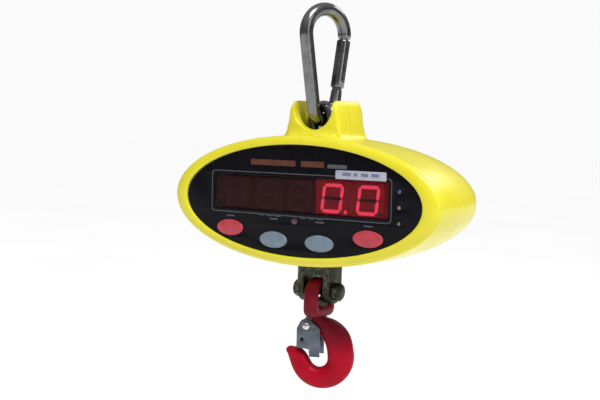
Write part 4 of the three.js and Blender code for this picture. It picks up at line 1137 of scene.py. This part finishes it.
def make_hook():
    inner, outer = hook_sides()
    last = len(inner) - 1
    rings = []
    for i, (near, far) in enumerate(zip(inner, outer)):
        to_tip = (last - i) / 12
        taper = min(1.0, 0.52 + 0.48 * min(1.0, to_tip))
        rings.append(forged_ring(near, far, 7.0 * taper))
    rings[0] = [(x * 0.96, y * 0.96, HOOK_TOP - 0.5) for x, y, z in rings[0]]
    body = loft(rings)
    collar = turned([(6.4, -4.9), (7.0, -4.2), (7.0, 0)], (0, 0, HOOK_TOP), (0, 0, 1))
    body = joined(body, collar)
    length = box("hook")[1].z - HOOK_TOP
    shank = turned([(5.5, -1), (5.5, length - 0.8), (4.8, length)], (0, 0, HOOK_TOP), (0, 0, 1))
    body = joined(body, shank)
    lug = [(LATCH_U + 10.5, LATCH_Z + 4.2), (LATCH_U, LATCH_Z + 4.2)]
    lug += arc(LATCH_U, LATCH_Z, 4.2, 90, 270, 20)[1:]
    lug += [(LATCH_U + 5, LATCH_Z - 5.2), (LATCH_U + 10.5, LATCH_Z - 5.2)]
    body = joined(body, outline_solid([lug], -3.4, 3.4, 0.5, 2))
    # The hook's red paint darkens towards the neck as painted shade.
    piece("swivel_hook", turn(body, HOOK_TURN), "red", "hook", "hook", slot="hook_red")

    low, high = box("hook_nut")
    spokes = [radians(60 * i) for i in range(6)]
    across = 14.4 / sqrt(3)
    prism = loft([[(across * cos(a), across * sin(a), z) for a in spokes] for z in (low.z, high.z)])
    prism = boolean(prism, turned([(5.8, -260), (5.8, -200)], (0, 0, 0), (0, 0, 1)))
    piece("swivel_nut", softened(prism, 0.5), "dark_steel", "hook", "hook_nut", slot="steel")


def make_latch():
    u, z = LATCH_U, LATCH_Z
    outside = LATCH_INSIDE + LATCH_SHEET
    shoulder = (LATCH_EYE - (LATCH_FRONT - u) * sin(LATCH_OPENING)) / cos(LATCH_OPENING)
    cheek = [(LATCH_FRONT, z + shoulder - 1), (LATCH_FRONT - 0.9, z + shoulder + 0.55)]
    cheek += arc(u, z, LATCH_EYE, 50, 144, 16)
    cheek += [(LATCH_WEB, z - 2), (LATCH_WEB, LATCH_FOOT)]
    cheek += [(u + 2.4, LATCH_FOOT - 1.4), (u + 3, LATCH_TONGUE), (LATCH_FRONT, LATCH_TONGUE)]
    hole = oval(2.05, 2.05, u, z, 32)
    window = oval(1.5, 1.5, u - 3.4, z - 11, 24)
    sides = ((-outside, -LATCH_INSIDE), (LATCH_INSIDE, outside))
    near, far = [outline_solid([cheek, hole, window], *side, 0.35, 2) for side in sides]
    bridge = rounded_rectangle(outside, (z - 5 - LATCH_FOOT) / 2, 0.8, 0, (z - 5 + LATCH_FOOT) / 2)
    web = outline_solid([bridge], LATCH_WEB, LATCH_WEB + LATCH_SHEET, 0.35, 2, "x")
    body = joined(joined(near, web), far)
    piece("safety_latch", turn(body, HOOK_TURN), "latch", "latch", "latch", slot="zinc_plate")
    pin = rivet((u, 0, z), outside + 1.6, 1.75, 3.0, 1.2)
    piece("latch_rivet", turn(pin, HOOK_TURN), "polished", "hook", "latch_pin", slot="steel")
    coil = helix((u, 7.2, z), (0, -1, 0), 3.0, 1.15, 2.6, 0.45)
    piece("latch_coil", turn(coil, HOOK_TURN), "steel", "hook", "latch_spring", slot="steel")


# ---------------------------------------------------------------- rear fittings


def pan_screw(node, name, radius, head):
    """A cross-head screw whose head stands towards +Y."""
    low, high = box(node)
    centre = middle(node)
    rise = head * 0.62
    start = high.y - rise
    profile = [(radius, low.y - start), (radius, 0), (head, 0)]
    angles = [radians(80 * i / 6) for i in range(7)]
    profile += [(head * cos(a), rise * (0.3 + 0.7 * sin(a))) for a in angles]
    shape = turned(profile, (centre.x, start, centre.z), (0, 1, 0), 36)
    for angle in (45, 135):
        arm = block((-rise, rise), (start + rise * 0.45, start + rise + 1), (-0.35, 0.35), 0.1)
        turn(arm, radians(angle), "Y")
        bmesh.ops.translate(arm, verts=arm.verts, vec=(centre.x, 0, centre.z))
        shape = boolean(shape, arm)
    piece(name, shape, "steel", "housing", node, slot="steel")


def make_rear_fittings():
    low, high = box("battery_door")
    outlines = [door_outline(0)]
    outlines += [oval(1.6, 1.6, middle(node).x, BODY_Z, 24) for node in DOOR_SCREWS]
    door = outline_solid(outlines, low.y, high.y, 0.5, 3)
    for node in DOOR_SCREWS:
        door = boolean(door, across_y(node, 2.9, high.y - 1.5, high.y + 4, 32))
    for i in range(7):
        outline = rounded_rectangle(12 - abs(i - 3) * 1.2, 0.7, 0.65, 0, BODY_Z + (i - 3) * 3.4)
        door = boolean(door, outline_solid([outline], high.y - 0.7, high.y + 3))
    piece("battery_cover", door, "yellow", "housing", "battery_door", slot="housing_yellow")
    for i, node in enumerate(DOOR_SCREWS):
        pan_screw(node, f"cover_screw_{i + 1}", 1.2, 2.5)
    for i, node in enumerate(CASE_SCREWS):
        pan_screw(node, f"shell_screw_{i + 1}", 1.5, 3.1)

    centre = middle("charger_socket")
    back = BACK_Y
    barrel = turned([(5.2, 56), (5.2, back - 0.2), (5.5, back + 0.3), (7.2, back + 0.3), (7.2, back + 1.0),
                     (6.8, back + 1.5), (3.9, back + 1.5), (3.2, back + 0.8), (3.2, 57)],
                    (centre.x, 0, centre.z), (0, 1, 0), 64)
    piece("power_socket", barrel, "black", "housing", "charger_socket", slot="component_black")
    low, high = box("socket_cap")
    face = high.y - 2
    dome = turned([(7.2, 0), (7.6, 0.4), (7.6, 1.3), (7.2, 1.8), (6.4, 2.0), (3, 2.0)],
                  (centre.x, face, centre.z), (0, 1, 0), 64)
    outline = rounded_rectangle(2.5, 4.2, 1.0, centre.x, centre.z - 8.2)
    strap = outline_solid([outline], face, face + 1.2, 0.25, 2)
    piece("socket_cover", joined(dome, strap), "rubber", "cap", "socket_cap", slot="seal_rubber")


# ---------------------------------------------------------------- pieces that keep their CAD shape

KEPT = {
    "rubber": ["top_eye_seal", "load_cell_cable", "battery_lead"],
    "steel": ["top_eye_nut", "load_cell", "clevis_locknut", "board_screw_1", "board_screw_2"],
    "black": [f"key_switch_{i}" for i in range(1, 5)],
    "board": ["display_board", "amplifier_board"],
    "battery": ["battery"],
}


def finish_cad_nodes():
    for look, names in KEPT.items():
        for name in names:
            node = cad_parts[name]
            node.data.materials.clear()
            node.data.materials.append(MATERIALS[look])


# ---------------------------------------------------------------- stage and light


def make_stage():
    z = cad_box[0].z - 0.12
    size = 14.0
    mesh = bpy.data.meshes.new("floor")
    corners = [(x * size, y * size, z) for x, y in ((-1, -1), (1, -1), (1, 1), (-1, 1))]
    mesh.from_pydata(corners, [], [(0, 1, 2, 3)])
    made, tree, shader, coordinates = new_material("pale_floor")
    patches = mapped(tree, noise(tree, coordinates, 3), 0.3, 0.7, 0, 1)
    colour = mixed(tree, patches, (0.93, 0.93, 0.93), (0.91, 0.91, 0.91))
    set_inputs(tree, shader, Base_Color=colour, Roughness=0.85)
    mesh.materials.append(made)
    add_object("floor", mesh)


def make_world():
    """White where the camera sees it, and a softer grey studio with a bright ceiling in reflections."""
    world = bpy.data.worlds.new("studio")
    bpy.context.scene.world = world
    world.use_nodes = True
    tree = world.node_tree
    seen = tree.nodes["Background"]
    set_inputs(tree, seen, Color=(0.96, 0.96, 0.96, 1))
    direction = tree.nodes.new("ShaderNodeTexCoord").outputs["Generated"]
    rise = add_node(tree, "SeparateXYZ", Vector=direction).outputs["Z"]
    around = add_node(tree, "Background", Color=mapped(tree, rise, -0.1, 0.9, 0.10, 0.62), Strength=0.8)
    choice = tree.nodes.new("ShaderNodeMixShader")
    sources = (tree.nodes.new("ShaderNodeLightPath").outputs["Is Camera Ray"],
               around.outputs["Background"], seen.outputs["Background"])
    for source, socket in zip(sources, choice.inputs):
        tree.links.new(source, socket)
    tree.links.new(choice.outputs["Shader"], tree.nodes["World Output"].inputs["Surface"])


def area_light(name, place, size, power):
    data = bpy.data.lights.new(name, "AREA")
    data.shape = "RECTANGLE"
    data.size, data.size_y = size
    data.energy = power
    light = add_object(name, data)
    light.location = place
    look_along(light, Vector((0, 0, -0.15)) - Vector(place))


def sun_light(name, towards, power, spread):
    data = bpy.data.lights.new(name, "SUN")
    data.energy = power
    data.angle = radians(spread)
    look_along(add_object(name, data), -Vector(towards))


make_stage()
make_world()
sun_light("key", (0.75, -0.6, 1.5), 2.6, 24)
area_light("side", (1.3, -0.5, 0.35), (0.35, 1.0), 2)
area_light("rim", (0.4, 1.2, 0.8), (0.9, 0.4), 4)
bpy.context.scene.view_settings.view_transform = "Standard"

for make in (make_front_shell, make_rear_shell, make_gaskets, make_panel, make_print, make_label,
             make_keys, make_digits, make_lamps, make_snap_hook, make_top_eye, make_clevis, make_bail,
             make_hook, make_latch, make_rear_fittings, finish_cad_nodes):
    make()
